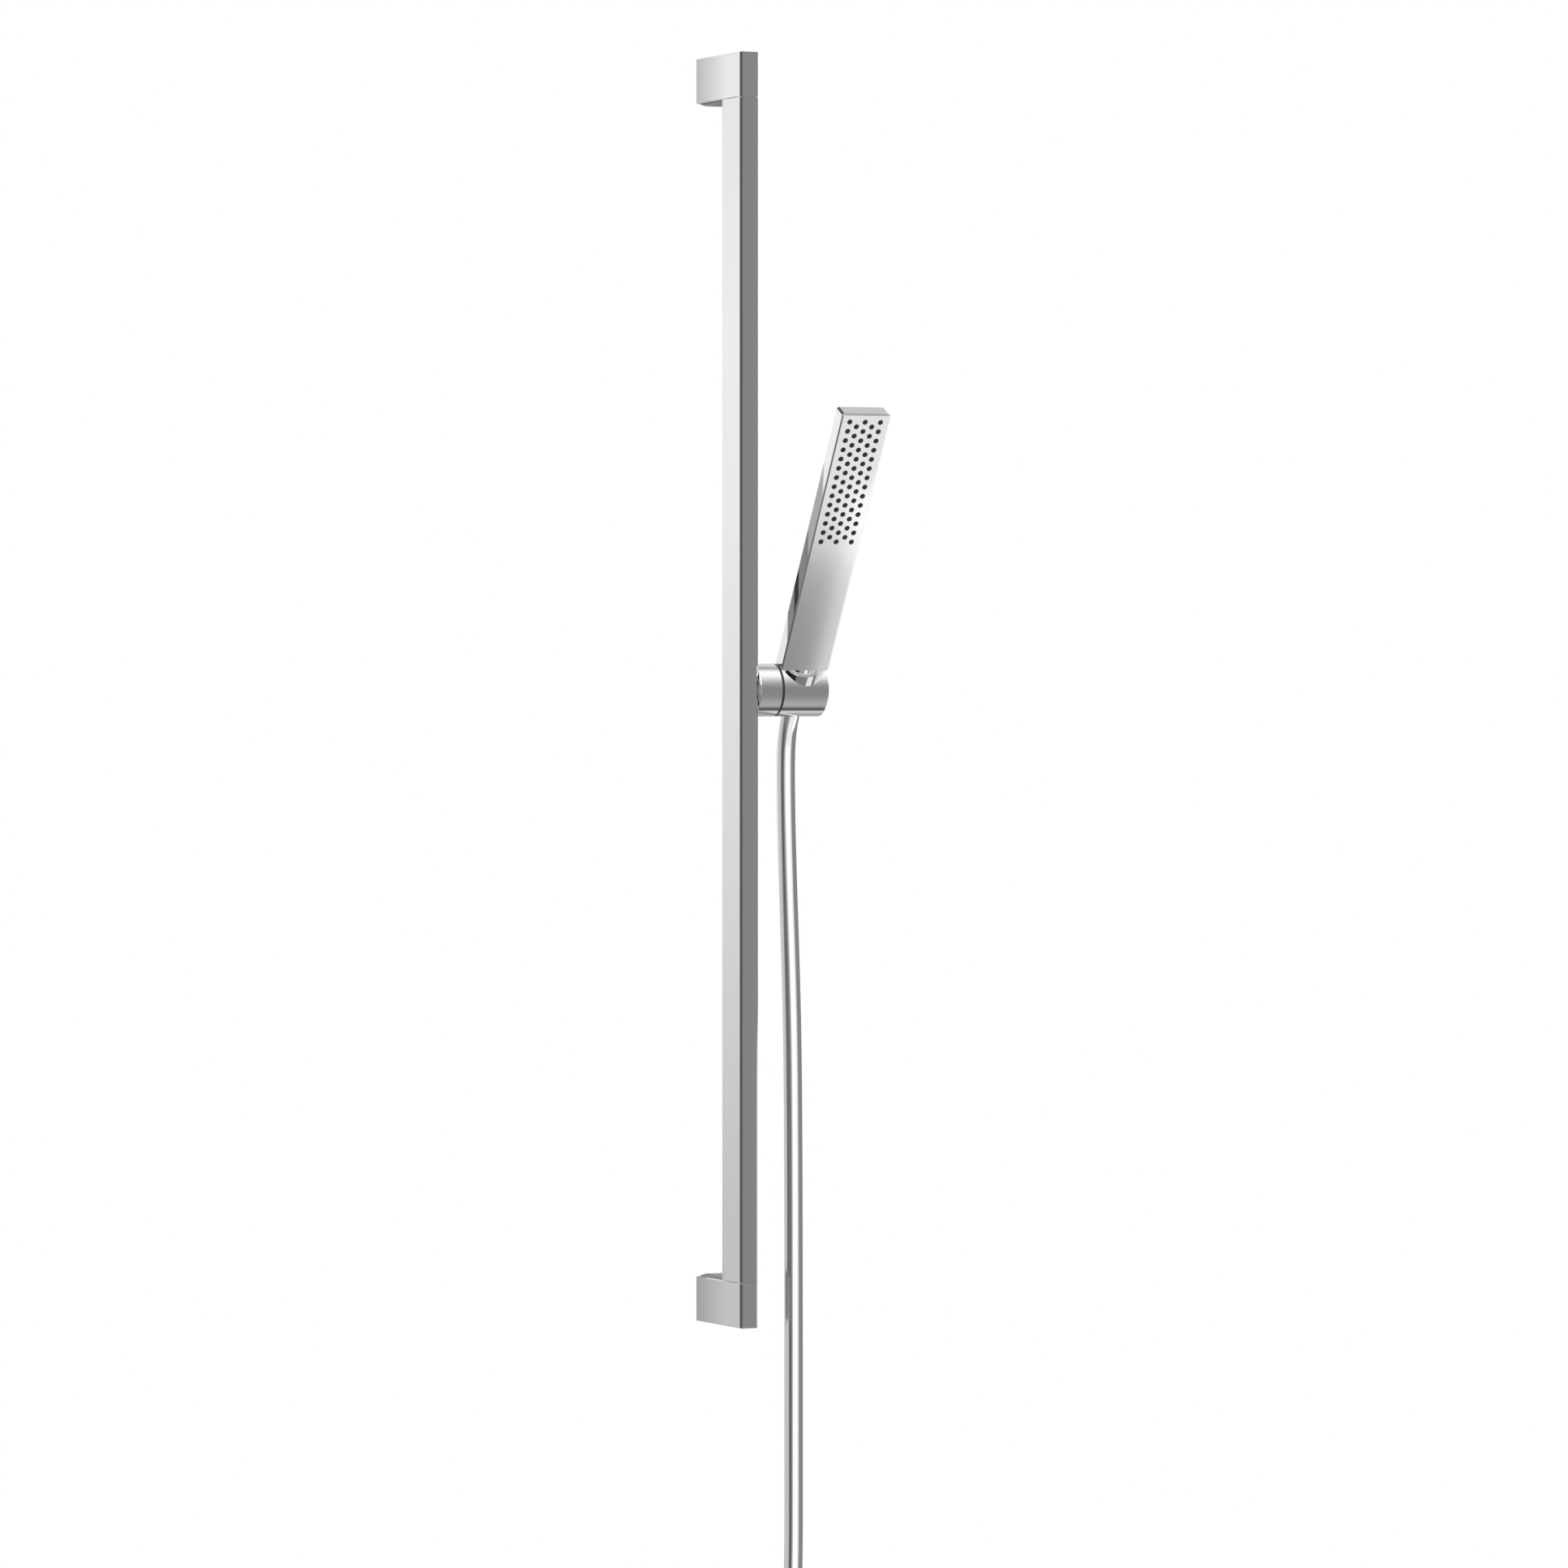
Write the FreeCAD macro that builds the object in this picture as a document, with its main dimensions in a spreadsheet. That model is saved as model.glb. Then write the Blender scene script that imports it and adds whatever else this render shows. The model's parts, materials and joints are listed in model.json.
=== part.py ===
import FreeCAD, Part
import math
import os
import re
import Sketcher
from FreeCAD import Placement, Rotation, Vector

# A wall-mounted shower slide rail with its hand shower and hose, in millimetres.
# Origin: on the wall, midway between the two wall screws. +X runs to the right along the wall,
# +Y into the wall and +Z up, so the rail stands in front of the wall, at negative Y.

doc = FreeCAD.newDocument("ShowerSlideRail")

# Driving dimensions. Each pair is a name and a plain number of millimetres or degrees.
SIZES = [
    # rail and wall brackets
    ("rail_length", 955.0),
    ("rail_width", 15.0),
    ("rail_depth", 35.0),
    ("rail_wall", 2.2),
    ("edge_chamfer", 1.6),
    ("bracket_depth", 81.0),
    ("bracket_height", 34.0),
    ("bracket_round", 0.8),
    ("bracket_cavity_width", 11.0),
    ("bracket_cavity_depth", 40.0),
    ("bracket_cavity_top", 13.0),
    ("bracket_floor", 6.0),
    ("wall_plate_thickness", 3.0),
    ("wall_plate_reach", 24.0),
    ("wall_plate_gap", 0.3),
    ("wall_screw_hole", 2.75),
    ("grub_place", 14.0),
    ("grub_radius", 2.5),
    ("grub_set_in", 0.2),
    ("grub_chamfer", 0.3),
    ("grub_point", 1.2),
    ("grub_socket_radius", 1.25),
    ("grub_socket_depth", 1.6),
    ("cover_width", 11.4),
    ("cover_length", 42.4),
    ("cover_from_wall", 1.8),
    ("cover_bulge", 3.2),
    ("cover_recess", 1.2),
    ("insert_height", 13.8),
    ("insert_prong", 22.0),
    ("insert_screw_height", 10.0),
    ("insert_screw_radius", 2.0),
    ("insert_screw_length", 18.0),
    ("insert_screw_head", 3.4),
    ("insert_screw_head_height", 3.0),
    # channel in the rail's side and what runs in it
    ("channel_mouth", 8.0),
    ("channel_width", 16.0),
    ("channel_lip", 3.0),
    ("channel_floor", 3.0),
    ("channel_web", 1.7),
    ("runner_play", 0.3),
    ("runner_height", 48.0),
    ("runner_thickness", 7.2),
    ("pilot_floor", 2.3),
    ("spring_strip", 0.4),
    ("spring_width", 6.0),
    ("spring_height", 40.0),
    ("spring_end", 4.0),
    ("spring_crown", 12.0),
    # slider drum beside the rail
    ("drum_radius", 20.0),
    ("drum_gap", 0.6),
    ("drum_length", 17.9),
    ("drum_end_wall", 3.5),
    ("drum_skirt", 2.5),
    ("drum_chamfer", 0.3),
    ("drum_ledge", 1.0),
    ("carrier_start", 0.9),
    ("carrier_thickness", 4.6),
    ("carrier_screw_place", 9.0),
    ("carrier_screw_radius", 1.5),
    ("carrier_screw_head", 2.85),
    ("carrier_screw_recess", 2.8),
    ("carrier_screw_sunk", 0.3),
    ("glide_inner", 12.0),
    ("glide_width", 2.5),
    ("clip_thickness", 1.0),
    ("clip_depth", 0.9),
    ("clip_inside", 1.6),
    ("clip_play", 0.2),
    ("clip_set_in", 0.5),
    ("ring_thickness", 1.9),
    ("ring_inset", 0.4),
    ("ring_bore", 4.5),
    ("face_gap", 0.1),
    ("tilt_screw_radius", 3.0),
    ("tilt_screw_head", 7.0),
    ("tilt_screw_head_height", 3.5),
    ("tilt_screw_grip", 4.6),
    ("tilt_screw_chamfer", 0.6),
    ("tilt_key_radius", 2.9),
    ("tilt_key_depth", 2.1),
    ("shaft_play", 0.05),
    ("friction_disc_radius", 9.0),
    ("friction_disc_thickness", 1.5),
    ("wave_washer_radius", 7.2),
    ("wave_washer_height", 0.95),
    # holder with its conical bore
    ("holder_length", 36.5),
    ("holder_end_round", 0.8),
    ("bore_place", 18.4),
    ("rest_tilt", 30.0),
    ("nut_top", 18.5),
    ("nut_bottom", 17.0),
    ("nut_top_radius", 12.5),
    ("nut_bottom_radius", 9.5),
    ("nut_seat_gap", 0.15),
    ("nut_thread_depth", 15.0),
    ("nut_chamfer", 0.5),
    ("liner_wall", 1.6),
    ("liner_top", 4.0),
    ("liner_bottom", 15.0),
    ("liner_gap", 0.1),
    ("flare_radius", 17.6),
    ("flare_step", 0.3),
    ("hose_slot", 15.6),
    # hose and its end fittings
    ("hose_diameter", 14.0),
    ("hose_bore", 4.0),
    ("hose_flexible_length", 1560.0),
    ("thread_radius", 10.43),
    ("thread_play", 0.07),
    ("thread_length", 10.0),
    ("sleeve_radius", 7.6),
    ("sleeve_flange", 1.8),
    ("sleeve_length", 15.6),
    ("sleeve_play", 0.4),
    ("flange_play", 0.5),
    ("gasket_thickness", 2.0),
    ("gasket_play", 0.6),
    ("gasket_set_back", 0.5),
    ("coil_radius", 82.0),
    ("coil_spacing", 14.2),
    ("coil_tail", 50.0),
    ("tie_width", 14.0),
    ("tie_thickness", 1.4),
    ("tie_play", 0.3),
    ("supply_nut_radius", 12.0),
    ("supply_nut_length", 18.2),
    ("supply_back_chamfer", 1.5),
    ("supply_mouth_chamfer", 1.0),
    ("supply_thread_radius", 9.32),
    ("supply_thread_length", 8.0),
    ("supply_relief", 0.3),
    ("supply_sleeve_length", 14.0),
    ("flute_radius", 1.2),
    ("flute_stop", 3.0),
    ("flutes", 12.0),
    # hand shower
    ("handset_width", 39.0),
    ("handset_thickness", 12.5),
    ("handset_bottom", 20.1),
    ("handset_top", 238.4),
    ("handset_corner", 1.8),
    ("handset_edge", 1.1),
    ("handset_wall", 1.8),
    ("handset_floor", 2.5),
    ("face_thickness", 1.5),
    ("mat_thickness", 1.2),
    ("mat_margin", 4.0),
    ("nozzle_radius", 2.0),
    ("nozzle_proud", 0.4),
    ("nozzle_play", 0.12),
    ("nozzle_column", 12.5),
    ("nozzle_row", 7.77),
    ("nozzle_row_count", 14.0),
    ("nozzle_top", 231.9),
    ("tray_gap", 0.25),
    ("tray_wall", 1.2),
    ("duct_radius", 3.0),
    ("inlet_neck_radius", 4.3),
    ("inlet_collar_radius", 6.0),
    ("inlet_bore", 3.4),
    ("inlet_neck_top", 24.9),
    ("filter_radius", 6.0),
    ("filter_thickness", 2.5),
    ("filter_rim", 1.2),
    ("filter_dish", 0.6),
    # how far a cut runs on past the face it leaves by
    ("overrun", 1.0),
]

sheet = doc.addObject("Spreadsheet::Sheet", "Sizes")
for line, (alias, number) in enumerate(SIZES, start=1):
    sheet.set("A%d" % line, alias.replace("_", " "))
    sheet.set("B%d" % line, str(number))
    sheet.setAlias("B%d" % line, alias)
doc.recompute()

ALIASES = {alias for alias, number in SIZES}
parts = []


def formula(text):
    """A size formula in the sheet's own words, ready for an expression."""
    return re.sub(r"[a-z_]+", lambda word: "Sizes." + word[0] if word[0] in ALIASES else word[0], text)


def size(text):
    """The number that a size formula gives."""
    return float(sheet.evalExpression(formula(text)))


def bind(item, prop, text):
    item.setExpression(prop, formula(text))


def check(item):
    """Stop at the first feature that failed or left no sound solid."""
    doc.recompute()
    if "Invalid" in item.State or "Error" in item.State:
        raise RuntimeError("%s failed" % item.Label)
    if item.Shape.isNull() or not item.Shape.isValid():
        raise RuntimeError("%s has no sound shape" % item.Label)


def place(item, x="0", y="0", z="0", turn=None):
    """Put a finished sub-part at its place, turned first where it needs it."""
    item.Placement = Placement(Vector(size(x), size(y), size(z)), turn or Rotation())
    if item.TypeId != "Part::Feature":
        for axis, text in (("x", x), ("y", y), ("z", z)):
            bind(item, "Placement.Base." + axis, text)
    parts.append(item)


def new_body(label):
    body = doc.addObject("PartDesign::Body", label)
    body.Label = label
    return body


def origin_feature(body, role):
    return [item for item in body.Origin.OriginFeatures if item.Role == role][0]


def new_sketch(body, plane, offset="0"):
    sketch = body.newObject("Sketcher::SketchObject", body.Label + "_sketch")
    sketch.AttachmentSupport = [(origin_feature(body, plane + "_Plane"), "")]
    sketch.MapMode = "FlatFace"
    bind(sketch, "AttachmentOffset.Base.z", offset)
    return sketch


def fix_point(sketch, edge, end, x, y):
    """Tie a point of a sketch to two size formulas."""
    for kind, text, axis in (("DistanceX", x, -2), ("DistanceY", y, -1)):
        if abs(size(text)) < 1e-9:
            sketch.addConstraint(Sketcher.Constraint("PointOnObject", edge, end, axis))
        else:
            index = sketch.addConstraint(Sketcher.Constraint(kind, edge, end, size(text)))
            bind(sketch, "Constraints[%d]" % index, text)


def add_outline(sketch, corners):
    """A closed outline of straight edges through corners given as size formulas."""
    first = sketch.GeometryCount
    points = [Vector(size(x), size(y), 0) for x, y in corners]
    last = len(points) - 1
    for index, point in enumerate(points):
        following = points[0] if index == last else points[index + 1]
        sketch.addGeometry(Part.LineSegment(point, following), False)
    for index in range(len(points)):
        following = first if index == last else first + index + 1
        sketch.addConstraint(Sketcher.Constraint("Coincident", first + index, 2, following, 1))
    for index, (x, y) in enumerate(corners):
        fix_point(sketch, first + index, 1, x, y)


def add_rectangle(sketch, x_low, x_high, y_low, y_high):
    add_outline(sketch, [(x_low, y_low), (x_high, y_low), (x_high, y_high), (x_low, y_high)])


def add_circle(sketch, x, y, radius):
    circle = Part.Circle(Vector(size(x), size(y), 0), Vector(0, 0, 1), size(radius))
    index = sketch.addGeometry(circle, False)
    fix_point(sketch, index, 3, x, y)
    ring = sketch.addConstraint(Sketcher.Constraint("Radius", index, size(radius)))
    bind(sketch, "Constraints[%d]" % ring, radius)


def pad(body, sketch, length, middle=False):
    feature = body.newObject("PartDesign::Pad", body.Label + "_pad")
    feature.Profile = sketch
    feature.SideType = "Symmetric" if middle else "One side"
    bind(feature, "Length", length)
    sketch.Visibility = False
    check(feature)
    return feature


def pocket(body, sketch, depth, middle=False, backward=False):
    """Cut a sketch into the solid, and make sure that it did cut."""
    before = body.Tip.Shape.Volume
    feature = body.newObject("PartDesign::Pocket", body.Label + "_pocket")
    feature.Profile = sketch
    feature.SideType = "Symmetric" if middle else "One side"
    feature.Reversed = backward
    bind(feature, "Length", depth)
    check(feature)
    if feature.Shape.Volume >= before:
        raise RuntimeError("%s cuts nothing" % feature.Label)
    return feature


def turned(body, kind, corners, axis="H_Axis", plane="XZ", angle=360.0):
    """A revolved profile, added or cut, about one of its own sketch's axes."""
    before = body.Tip.Shape.Volume if body.Tip else 0.0
    sketch = new_sketch(body, plane)
    add_outline(sketch, corners)
    doc.recompute()
    feature = body.newObject("PartDesign::" + kind, body.Label + "_turned")
    feature.Profile = sketch
    feature.ReferenceAxis = (sketch, [axis])
    feature.Angle = angle
    feature.Midplane = angle < 360.0
    check(feature)
    if (kind == "Groove") != (feature.Shape.Volume < before):
        raise RuntimeError("%s changes nothing" % feature.Label)
    return feature


def dress(body, kind, value, chosen):
    """A fillet or chamfer on the edges of the body's last feature that chosen picks."""
    base = body.Tip
    names = ["Edge%d" % (n + 1) for n, edge in enumerate(base.Shape.Edges) if chosen(edge)]
    feature = body.newObject("PartDesign::" + kind, body.Label + "_edges")
    feature.Base = (base, names)
    bind(feature, "Radius" if kind == "Fillet" else "Size", value)
    check(feature)
    return feature


def line_along(edge, axis):
    """True for a straight edge parallel to an axis: 0, 1 or 2 for X, Y or Z."""
    if not isinstance(edge.Curve, Part.Line):
        return False
    return abs(abs(edge.Curve.Direction[axis]) - 1.0) < 1e-6


def middle_of(edge):
    return edge.BoundBox.Center


def near(value, text):
    return abs(value - size(text)) < 1e-4


RAIL_Y = "(rail_depth / 2 - bracket_depth)"
BAR_LENGTH = "(rail_length - 2 * bracket_height)"
BRACKET_Z = "(rail_length / 2 - bracket_height / 2)"
SIDE = "(rail_width / 2)"
CHAMBER_START = "(channel_width / 2 + channel_web)"
CHAMBER_END = "(rail_depth / 2 - rail_wall)"

# Rail bar: a chromed extrusion with chamfered corners, a T-shaped channel down its right side and a
# closed chamber in front of the channel and another behind it.
rail = new_body("rail_bar")
section = new_sketch(rail, "XY")
add_outline(section, [
    ("-" + SIDE, "-rail_depth / 2"),
    (SIDE, "-rail_depth / 2"),
    (SIDE, "-channel_mouth / 2"),
    (SIDE + " - channel_lip", "-channel_mouth / 2"),
    (SIDE + " - channel_lip", "-channel_width / 2"),
    ("channel_floor - " + SIDE, "-channel_width / 2"),
    ("channel_floor - " + SIDE, "channel_width / 2"),
    (SIDE + " - channel_lip", "channel_width / 2"),
    (SIDE + " - channel_lip", "channel_mouth / 2"),
    (SIDE, "channel_mouth / 2"),
    (SIDE, "rail_depth / 2"),
    ("-" + SIDE, "rail_depth / 2"),
])
for low, high in (("-" + CHAMBER_END, "-" + CHAMBER_START), (CHAMBER_START, CHAMBER_END)):
    add_rectangle(section, "rail_wall - " + SIDE, SIDE + " - rail_wall", low, high)
pad(rail, section, BAR_LENGTH, middle=True)
dress(rail, "Chamfer", "edge_chamfer", lambda edge: line_along(edge, 2)
      and near(abs(middle_of(edge).x), SIDE) and near(abs(middle_of(edge).y), "rail_depth / 2"))
place(rail, y=RAIL_Y)

# The two wall brackets and what is inside each. They are described once, in a frame at the middle
# of the bracket's back with +Z pointing away from the bar, and the lower set is turned over.
FLOOR = "(bracket_floor - bracket_height / 2)"
PLATE_LOW = "(" + FLOOR + " + wall_plate_gap)"
PLATE_HALF = "(bracket_cavity_width / 2 - wall_plate_gap)"
UNDERSIDE = "(-bracket_height / 2)"
INSERT_HALF_X = "(" + SIDE + " - rail_wall - runner_play)"
INSERT_SCREW_Z = "(" + UNDERSIDE + " + insert_screw_height)"
GRUB_END = "(" + UNDERSIDE + " + cover_recess + grub_set_in)"

for end, turn, side in (("upper", Rotation(), ""), ("lower", Rotation(Vector(0, 1, 0), 180), "-")):
    height = side + BRACKET_Z

    # Bracket: a die-cast block, hollow from the wall side, with a seat for the bar's insert below.
    bracket = new_body(end + "_bracket")
    block = new_sketch(bracket, "XY")
    add_rectangle(block, "-" + SIDE, SIDE, "-bracket_depth", "0")
    pad(bracket, block, "bracket_height", middle=True)
    dress(bracket, "Chamfer", "edge_chamfer", lambda edge: line_along(edge, 2)
          and near(middle_of(edge).y, "-bracket_depth"))
    dress(bracket, "Fillet", "bracket_round", lambda edge: line_along(edge, 1)
          and near(middle_of(edge).z, "bracket_height / 2"))
    hollow = new_sketch(bracket, "XZ")
    add_rectangle(hollow, "-bracket_cavity_width / 2", "bracket_cavity_width / 2",
                  FLOOR, "bracket_cavity_top")
    pocket(bracket, hollow, "bracket_cavity_depth", backward=True)
    seat = new_sketch(bracket, "XY", UNDERSIDE)
    add_rectangle(seat, "-" + INSERT_HALF_X + " - runner_play", INSERT_HALF_X + " + runner_play",
                  RAIL_Y + " - " + CHAMBER_END, RAIL_Y + " + " + CHAMBER_END)
    pocket(bracket, seat, "insert_height + face_gap", backward=True)
    recess = new_sketch(bracket, "XY", UNDERSIDE)
    add_rectangle(recess, "-cover_width / 2 - face_gap", "cover_width / 2 + face_gap",
                  "-cover_from_wall - cover_length - face_gap", "face_gap - cover_from_wall")
    pocket(bracket, recess, "cover_recess", backward=True)
    grub_hole = new_sketch(bracket, "XY", UNDERSIDE)
    add_circle(grub_hole, "0", "-grub_place", "grub_radius")
    pocket(bracket, grub_hole, "bracket_floor + overrun", backward=True)
    screw_hole = new_sketch(bracket, "XZ", "bracket_cavity_depth - overrun")
    add_circle(screw_hole, "0", INSERT_SCREW_Z, "insert_screw_radius + face_gap")
    pocket(bracket, screw_hole, "bracket_depth - bracket_cavity_depth - rail_depth / 2", backward=True)
    place(bracket, z=height, turn=turn)

    # Wall plate: a folded steel plate that is screwed to the wall, with a tongue for the grub screw.
    plate = new_body(end + "_wall_plate")
    back = new_sketch(plate, "YZ")
    add_outline(back, [
        ("0", PLATE_LOW),
        ("0", "bracket_cavity_top - wall_plate_gap"),
        ("-wall_plate_thickness", "bracket_cavity_top - wall_plate_gap"),
        ("-wall_plate_thickness", PLATE_LOW + " + wall_plate_thickness"),
        ("-wall_plate_reach", PLATE_LOW + " + wall_plate_thickness"),
        ("-wall_plate_reach", PLATE_LOW),
    ])
    pad(plate, back, "2 * " + PLATE_HALF, middle=True)
    wall_hole = new_sketch(plate, "XZ", "-overrun")
    add_circle(wall_hole, "0", "0", "wall_screw_hole")
    pocket(plate, wall_hole, "wall_plate_thickness + 2 * overrun", backward=True)
    place(plate, z=height, turn=turn)

    # Grub screw: locks the bracket on the wall plate's tongue from below.
    grub = new_body(end + "_grub_screw")
    turned(grub, "Revolution", [
        ("0", GRUB_END),
        ("grub_radius - shaft_play - grub_chamfer", GRUB_END),
        ("grub_radius - shaft_play", GRUB_END + " + grub_chamfer"),
        ("grub_radius - shaft_play", PLATE_LOW + " - grub_point"),
        ("grub_radius - grub_point", PLATE_LOW + " - shaft_play"),
        ("0", PLATE_LOW + " - shaft_play"),
    ], axis="V_Axis")
    socket = new_sketch(grub, "XY", GRUB_END)
    add_circle(socket, "0", "0", "grub_socket_radius")
    pocket(grub, socket, "grub_socket_depth", backward=True)
    place(grub, y="-grub_place", z=height, turn=turn)

    # Cover: a bowed strip that clips over the grub screw, between the wall and the bar.
    slab = doc.addObject("Part::Box", end + "_cover_slab")
    bind(slab, "Length", "cover_width")
    bind(slab, "Width", "cover_length")
    bind(slab, "Height", "cover_recess - face_gap + cover_bulge")
    bind(slab, "Placement.Base.x", "-cover_width / 2")
    bind(slab, "Placement.Base.y", "-cover_from_wall - cover_length")
    bind(slab, "Placement.Base.z", UNDERSIDE + " - cover_bulge")
    bow = doc.addObject("Part::Cylinder", end + "_cover_bow")
    bow_radius = "((cover_length * cover_length / 4 + cover_bulge * cover_bulge) / (2 * cover_bulge))"
    bow.Placement = Placement(Vector(), Rotation(Vector(0, 1, 0), 90))
    bind(bow, "Radius", bow_radius)
    bind(bow, "Height", "cover_width")
    bind(bow, "Placement.Base.x", "-cover_width / 2")
    bind(bow, "Placement.Base.y", "-cover_from_wall - cover_length / 2")
    bind(bow, "Placement.Base.z", UNDERSIDE + " - cover_bulge + " + bow_radius)
    cover = doc.addObject("Part::Common", end + "_bracket_cover")
    cover.Base = slab
    cover.Tool = bow
    check(cover)
    place(cover, z=height, turn=turn)

    # Insert: joins bar and bracket, with a prong in each of the bar's chambers.
    insert = new_body(end + "_bar_insert")
    head = new_sketch(insert, "XY", UNDERSIDE)
    add_rectangle(head, "-" + INSERT_HALF_X, INSERT_HALF_X,
                  "runner_play - " + CHAMBER_END, CHAMBER_END + " - runner_play")
    pad(insert, head, "insert_height")
    prongs = new_sketch(insert, "XY", UNDERSIDE + " - insert_prong")
    for low, high in (("-" + CHAMBER_END, "-" + CHAMBER_START), (CHAMBER_START, CHAMBER_END)):
        add_rectangle(prongs, "-" + INSERT_HALF_X, INSERT_HALF_X,
                      low + " + runner_play", high + " - runner_play")
    pad(insert, prongs, "insert_prong")
    threaded = new_sketch(insert, "XZ", "-rail_depth / 2")
    add_circle(threaded, "0", INSERT_SCREW_Z, "insert_screw_radius + shaft_play")
    pocket(insert, threaded, "insert_screw_length", backward=True)
    place(insert, y=RAIL_Y, z=height, turn=turn)

    # Insert screw: pulls the insert back against the bracket from inside its hollow.
    screw = new_body(end + "_insert_screw")
    turned(screw, "Revolution", [
        ("0", "insert_screw_head_height - bracket_cavity_depth"),
        ("insert_screw_head", "insert_screw_head_height - bracket_cavity_depth"),
        ("insert_screw_head", "-bracket_cavity_depth"),
        ("insert_screw_radius", "-bracket_cavity_depth"),
        ("insert_screw_radius", "-bracket_cavity_depth - insert_screw_length"),
        ("0", "-bracket_cavity_depth - insert_screw_length"),
    ], axis="V_Axis", plane="XY")
    place(screw, z=height + (" + " if not side else " - ") + INSERT_SCREW_Z, turn=turn)

# The slider is described about its own axis, which runs along X through the middle of the rail.
HEAD_FRONT = "(" + SIDE + " - channel_lip - runner_play)"
HEAD_BACK = "(" + HEAD_FRONT + " - runner_thickness)"
CARRIER_X = "(" + SIDE + " + carrier_start)"
CARRIER_END = "(" + CARRIER_X + " + carrier_thickness)"
DRUM_X = "(" + SIDE + " + drum_gap)"
DRUM_END = "(" + DRUM_X + " + drum_length)"
DRUM_INSIDE = "(" + DRUM_END + " - drum_end_wall)"
CUP = "(drum_radius - drum_skirt)"
CLIP_X = "(" + CARRIER_X + " + clip_set_in)"
CLIP_END = "(" + CLIP_X + " + clip_thickness)"
HOLDER_X = "(" + DRUM_END + " + ring_thickness + face_gap)"

# Runner: a moulded T-shaped shoe in the rail's channel, with a neck out through the mouth.
runner = new_body("slider_runner")
shoe = new_sketch(runner, "XY")
add_rectangle(shoe, HEAD_BACK, HEAD_FRONT,
              "runner_play - channel_width / 2", "channel_width / 2 - runner_play")
pad(runner, shoe, "runner_height", middle=True)
neck = new_sketch(runner, "XY")
NECK_HALF = "(channel_mouth / 2 - runner_play)"
add_rectangle(neck, HEAD_FRONT, CARRIER_X, "-" + NECK_HALF, NECK_HALF)
pad(runner, neck, "2 * sqrt((glide_inner - runner_play)^2 - " + NECK_HALF + "^2)", middle=True)
pilot = new_sketch(runner, "YZ", CARRIER_X)
for sign in ("", "-"):
    add_circle(pilot, "0", sign + "carrier_screw_place", "carrier_screw_radius + shaft_play")
pocket(runner, pilot, CARRIER_X + " - " + HEAD_BACK + " - pilot_floor")
place(runner, y=RAIL_Y)

# Brake spring: a bowed steel strip behind the shoe, which presses it against the channel's lips.
CROWN = "(channel_floor - " + SIDE + " + runner_play)"
spring = new_body("brake_spring")
strip = new_sketch(spring, "XZ")
add_outline(strip, [
    (HEAD_BACK, "-spring_height / 2"),
    (HEAD_BACK, "spring_end - spring_height / 2"),
    (CROWN + " + spring_strip", "-spring_crown / 2"),
    (CROWN + " + spring_strip", "spring_crown / 2"),
    (HEAD_BACK, "spring_height / 2 - spring_end"),
    (HEAD_BACK, "spring_height / 2"),
    (HEAD_BACK + " - spring_strip", "spring_height / 2"),
    (HEAD_BACK + " - spring_strip", "spring_height / 2 - spring_end"),
    (CROWN, "spring_crown / 2"),
    (CROWN, "-spring_crown / 2"),
    (HEAD_BACK + " - spring_strip", "spring_end - spring_height / 2"),
    (HEAD_BACK + " - spring_strip", "-spring_height / 2"),
])
pad(spring, strip, "spring_width", middle=True)
place(spring, y=RAIL_Y)

# Carrier: a moulded disc in the open end of the drum, screwed to the runner, with a raised ring
# that glides along the rail's side.
carrier = new_body("slider_carrier")
turned(carrier, "Revolution", [
    (CARRIER_X, "0"),
    (CARRIER_X, "glide_inner"),
    (SIDE + " + runner_play", "glide_inner"),
    (SIDE + " + runner_play", "glide_inner + glide_width"),
    (CARRIER_X, "glide_inner + glide_width"),
    (CARRIER_X, CUP + " - clip_inside - clip_play"),
    (CLIP_END + " + shaft_play", CUP + " - clip_inside - clip_play"),
    (CLIP_END + " + shaft_play", CUP + " - face_gap"),
    (CARRIER_END, CUP + " - face_gap"),
    (CARRIER_END, "0"),
])
for radius, depth in (("carrier_screw_radius + face_gap", "carrier_thickness + overrun"),
                      ("carrier_screw_head + face_gap", "carrier_screw_recess")):
    holes = new_sketch(carrier, "YZ", CARRIER_END)
    for sign in ("", "-"):
        add_circle(holes, "0", sign + "carrier_screw_place", radius)
    pocket(carrier, holes, depth)
place(carrier, y=RAIL_Y)

# Carrier screws: two pan-head screws through the carrier into the runner.
for name, sign in (("upper", ""), ("lower", "-")):
    bolt = new_body(name + "_carrier_screw")
    turned(bolt, "Revolution", [
        (HEAD_BACK + " + pilot_floor + face_gap", "0"),
        (HEAD_BACK + " + pilot_floor + face_gap", "carrier_screw_radius"),
        (CARRIER_END + " - carrier_screw_recess", "carrier_screw_radius"),
        (CARRIER_END + " - carrier_screw_recess", "carrier_screw_head"),
        (CARRIER_END + " - carrier_screw_sunk", "carrier_screw_head"),
        (CARRIER_END + " - carrier_screw_sunk", "0"),
    ])
    place(bolt, y=RAIL_Y, z=sign + "carrier_screw_place")

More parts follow.
